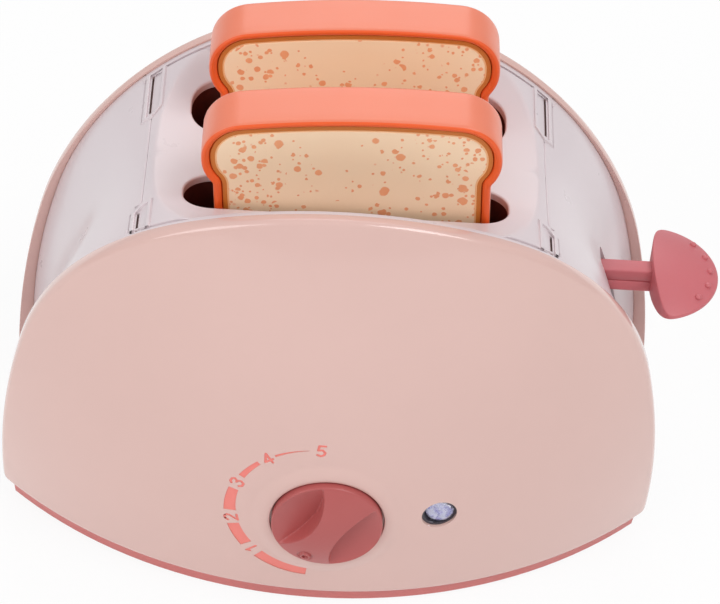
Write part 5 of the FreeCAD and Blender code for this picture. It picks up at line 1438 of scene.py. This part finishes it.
LENS_RINGS = ((1.1, -61.15), (2.4, -60.75), (3.5, -60.1), (4.1, -59.4), (4.15, -58.6))
lens = faceted_rings("lamp_lens_facets", LENS_RINGS)
place_piece(lens, "casing", [LENS_CLEAR], ["lamp_lens"])
cone = faceted_rings("lamp_silver_cone", ((3.9, -58.3), (2.7, -57.0)))
place_piece(cone, "casing", [SILVER])

# %% [markdown]
# ## Lift springs
# Two coil springs push the bread tray up. A coil is a path with a wire carried along it, which
# Geometry Nodes do in a few steps: a spiral, a small circle swept along it, and one copy per rod.

# %% Springs by Geometry Nodes
def brushed(name, colour, roughness=0.3, stretch=(60.0, 60.0, 900.0)):
    """Drawn or turned metal: fine streaks in one direction."""
    material, tree, shader, spot = new_material(name)
    squeeze = add_node(tree, "ShaderNodeMapping", {"Scale": stretch, "Vector": spot})
    streak = noise(tree, squeeze.outputs[0], 1.0, 3.0)
    dark = tuple(c * 0.82 for c in colour)
    set_inputs(shader, {
        "Metallic": 1.0, "Base Color": mix_colour(tree, streak, dark, colour),
        "Roughness": spread(tree, streak, roughness * 0.8, roughness * 1.3)})
    bump(tree, shader, streak, 0.00001)
    return material


ROD_STEEL = brushed("rod_drawn_steel", (0.66, 0.66, 0.68), 0.24)
ROD_X, ROD_Y = 51.05, 20.0


def spring_tree(material):
    tree, inside, outside = node_tool("coil_springs", (
        ("Turns", "NodeSocketFloat", 15.0), ("Coil radius", "NodeSocketFloat", 0.0034),
        ("Height", "NodeSocketFloat", 0.052), ("Wire radius", "NodeSocketFloat", 0.0004),
        ("Rod spacing", "NodeSocketFloat", 0.04)))
    given = inside.outputs
    coil = add_node(tree, "GeometryNodeCurveSpiral", {
        "Resolution": 24, "Rotations": given["Turns"], "Start Radius": given["Coil radius"],
        "End Radius": given["Coil radius"], "Height": given["Height"]})
    wire = add_node(tree, "GeometryNodeCurvePrimitiveCircle", {
        "Resolution": 10, "Radius": given["Wire radius"]})
    sweep = add_node(tree, "GeometryNodeCurveToMesh", {
        "Fill Caps": True, "Curve": coil.outputs[0], "Profile Curve": wire.outputs[0]})
    offset = add_node(tree, "ShaderNodeCombineXYZ", {1: given["Rod spacing"]})
    spots = add_node(tree, "GeometryNodeMeshLine", {"Count": 2, "Offset": offset.outputs[0]}, mode="OFFSET")
    lay = add_node(tree, "GeometryNodeInstanceOnPoints", {
        "Points": spots.outputs[0], "Instance": sweep.outputs[0]})
    return painted_copies(tree, lay, material, outside)


springs = run_tool("lift_coils", spring_tree(ROD_STEEL), {
    "Turns": 15.0, "Height": 0.052, "Rod spacing": 2 * ROD_Y * MM})
shift_mesh(springs, (ROD_X, -ROD_Y, 9.6))
place_piece(springs, "casing", [ROD_STEEL], ["lift_springs"])
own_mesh(springs)

# %% [markdown]
# ## Finishes for the hidden pieces
# The rods, the carriage, the switch, the board, the speaker and the battery box keep their CAD
# shapes. Each still gets a finish of its own, because anyone who opens the toaster sees them: drawn
# steel, a printed jacket on the cells, copper tracks on the board, a woven dome on the speaker.

# %% Finishes made for single pieces
def striped_cell(name):
    """A cell's jacket: dark body, lighter band towards the raised end, no print."""
    material, tree, shader, spot = new_material(name)
    split = add_node(tree, "ShaderNodeSeparateXYZ", {0: spot})
    band = math_node(tree, "GREATER_THAN", split.outputs[0], 0.012)
    cloud = noise(tree, spot, 120.0, 2.0)
    dark = mix_colour(tree, cloud, (0.03, 0.035, 0.045), (0.05, 0.055, 0.065))
    light = mix_colour(tree, cloud, (0.5, 0.32, 0.12), (0.6, 0.4, 0.16))
    set_inputs(shader, {"Base Color": mix_colour(tree, band, dark, light),
                        "Roughness": spread(tree, cloud, 0.25, 0.4), "Metallic": 0.4})
    return material


def tracked_board(name):
    """Solder mask with raised tracks, drawn by a brick pattern."""
    material, tree, shader, spot = new_material(name)
    turn = add_node(tree, "ShaderNodeMapping", {"Rotation": (math.radians(90), 0.0, 0.0), "Vector": spot})
    tracks = add_node(tree, "ShaderNodeTexBrick", {
        "Scale": 240.0, "Mortar Size": 0.08, "Color1": (0.01, 0.13, 0.05, 1),
        "Color2": (0.012, 0.16, 0.06, 1), "Mortar": (0.05, 0.3, 0.1, 1), "Vector": turn.outputs[0]})
    set_inputs(shader, {"Base Color": tracks.outputs["Color"],
                        "Roughness": spread(tree, noise(tree, spot, 400.0), 0.3, 0.45)})
    bump(tree, shader, tracks.outputs["Fac"], 0.00004)
    return material


def woven_cone(name):
    """The speaker's cloth: two sets of fine waves crossing."""
    material, tree, shader, spot = new_material(name)
    fibres = [add_node(tree, "ShaderNodeTexWave", {"Scale": 500.0, "Vector": spot},
                       bands_direction=direction).outputs["Fac"] for direction in ("X", "Y")]
    total = math_node(tree, "MAXIMUM", *fibres)
    cloth = mix_colour(tree, total, (0.006, 0.006, 0.007), (0.03, 0.03, 0.032))
    set_inputs(shader, {"Base Color": cloth, "Roughness": 0.75})
    bump(tree, shader, total, 0.00006)
    return material


SCREW_STEEL = brushed("screw_plated_steel", (0.58, 0.58, 0.6), 0.32, (900.0, 900.0, 60.0))
CONTACT_METAL = brushed("contact_nickel", (0.7, 0.69, 0.66), 0.28, (200.0, 900.0, 200.0))
MAGNET_METAL = brushed("magnet_nickel", (0.5, 0.5, 0.53), 0.35, (300.0, 300.0, 600.0))
FOOT_RUBBER = moulded("foot_rubber", linear(90, 74, 74), 0.8, peel=0.00008, tint=0.06)
SWITCH_GREY = moulded("switch_grey", linear(150, 150, 154), 0.5, peel=0.00005, tint=0.03)
LED_CLEAR = moulded("led_milky", linear(225, 228, 240), 0.15, coat=0.3, tint=0.02)
FINISHES = (
    (BASE_PINK, ("base_plate", "battery_door")),
    (FOOT_RUBBER, ("rubber_feet",)),
    (SCREW_STEEL, ("battery_door_screw", "base_screws", "switch_screws")),
    (striped_cell("cell_jacket"), ("battery_cells",)),
    (CONTACT_METAL, ("battery_contacts",)),
    (woven_cone("speaker_cloth"), ("speaker",)),
    (tracked_board("board_tracks"), ("circuit_board",)),
    # the well and the carriage are dark brown as painted shade inside the slots
    (WELL_PAINTED_SHADE, ("bread_well", "bread_carriage")),
    (ROD_STEEL, ("guide_rods",)),
    (MAGNET_METAL, ("hold_magnet", "keeper_plate")),
    (SWITCH_GREY, ("dial_shaft", "click_box", "click_cover")),
    (CUP_DARK, ("lamp_cup",)),
    (LED_CLEAR, ("led",)),
)
for finish, nodes in FINISHES:
    for node in nodes:
        piece = frame["nodes"][node]
        if not piece.material_slots:
            piece.data.materials.append(finish)
        for place in piece.material_slots:
            place.material = finish
    print(finish.name, "on", *nodes)

# %% [markdown]
# ## Floor, light and camera
# The toaster stands on a pale floor that runs out to white. Large soft lamps give the broad, quiet
# highlights that high-gloss plastic shows in a studio, and an even white world fills the shadows.
# The camera sits high in front with a long lens, turned slightly to one side.

# %% The floor
def studio_white(name, shade):
    """A pale matt surface, mixed with plain white by the share given wherever it is seen."""
    material, tree, shader, spot = new_material(name)
    grain = mix_colour(tree, noise(tree, spot, 8.0, 2.0), (0.93, 0.93, 0.93), (0.95, 0.95, 0.95))
    set_inputs(shader, {"Base Color": grain, "Roughness": 0.9})
    glow = add_node(tree, "ShaderNodeEmission", {"Color": (1, 1, 1, 1)})
    path = tree.nodes.new("ShaderNodeLightPath")
    seen = math_node(tree, "MAXIMUM", path.outputs["Is Camera Ray"], path.outputs["Is Glossy Ray"])
    seen = math_node(tree, "MAXIMUM", seen, path.outputs["Is Transmission Ray"])
    share = math_node(tree, "MULTIPLY", seen, shade)
    blend = add_node(tree, "ShaderNodeMixShader", {0: share, 1: shader.outputs[0], 2: glow.outputs[0]})
    set_inputs(tree.nodes["Material Output"], {"Surface": blend.outputs[0]})
    return material


floor_planks = Planks()
near, far = (floor_planks.row([(-3000, y, -LIFT), (3000, y, -LIFT)]) for y in (-3000, 3000))
floor_planks.join(near, far)
floor = mesh_object("studio_floor", floor_planks, facing=(0, 0, 1))
floor.data.materials.append(studio_white("floor_white", 0.9))

# %% The world and the lamps
scene = bpy.context.scene
world = bpy.data.worlds.new("studio_world")
scene.world = world
world.use_nodes = True
sky = world.node_tree
background = set_inputs(sky.nodes["Background"], {"Color": (0.985, 0.985, 1.0, 1), "Strength": 0.48})
path = sky.nodes.new("ShaderNodeLightPath")
white = add_node(sky, "ShaderNodeBackground", {"Color": (1, 1, 1, 1), "Strength": 1.0})
switch = add_node(sky, "ShaderNodeMixShader", {
    0: path.outputs["Is Camera Ray"], 1: background.outputs[0], 2: white.outputs[0]})
set_inputs(sky.nodes["World Output"], {"Surface": switch.outputs[0]})


def soft_lamp(name, place, target, size, watts):
    data = bpy.data.lights.new(name, "AREA")
    data.energy, data.size = watts, size
    lamp = put_in_scene(name, data)
    lamp.location = place
    lamp.rotation_euler = (Vector(target) - Vector(place)).to_track_quat("-Z", "Y").to_euler()
    return lamp


soft_lamp("key_softbox", (0.45, -0.35, 1.0), (0, 0, 0.06), 0.5, 4.2)
soft_lamp("fill_softbox", (-0.85, -0.7, 0.75), (0, 0, 0.06), 0.7, 4.4)
soft_lamp("back_softbox", (0.0, 0.9, 0.8), (0, 0, 0.08), 0.8, 3.2)
print("lamps set")

# %% The camera
AZIMUTH, ELEVATION, ROLL = (math.radians(a) for a in (-2.06, 42.778, 4.569))
LOOK_AT, DISTANCE, LENS = Vector((6.61, -0.34, 59.89 + LIFT)) * MM, 829.37 * MM, 2874.4 / 720 * 36
level = math.cos(ELEVATION)
back = Vector((math.sin(AZIMUTH) * level, -math.cos(AZIMUTH) * level, math.sin(ELEVATION)))
right = Vector((math.cos(AZIMUTH), math.sin(AZIMUTH), 0))
up = back.cross(right)
across = math.cos(ROLL) * right + math.sin(ROLL) * up
upward = math.cos(ROLL) * up - math.sin(ROLL) * right
lens_data = bpy.data.cameras.new("studio_camera")
lens_data.sensor_fit, lens_data.sensor_width, lens_data.lens = "HORIZONTAL", 36.0, LENS
lens_data.clip_start, lens_data.clip_end = 0.01, 20.0
camera = put_in_scene("studio_camera", lens_data)
turned = Matrix((across, upward, back)).transposed().to_4x4()
camera.matrix_world = Matrix.Translation(LOOK_AT + back * DISTANCE) @ turned
scene.camera = camera
scene.view_settings.view_transform = "Standard"
print("camera at", tuple(round(v, 4) for v in camera.matrix_world.translation))
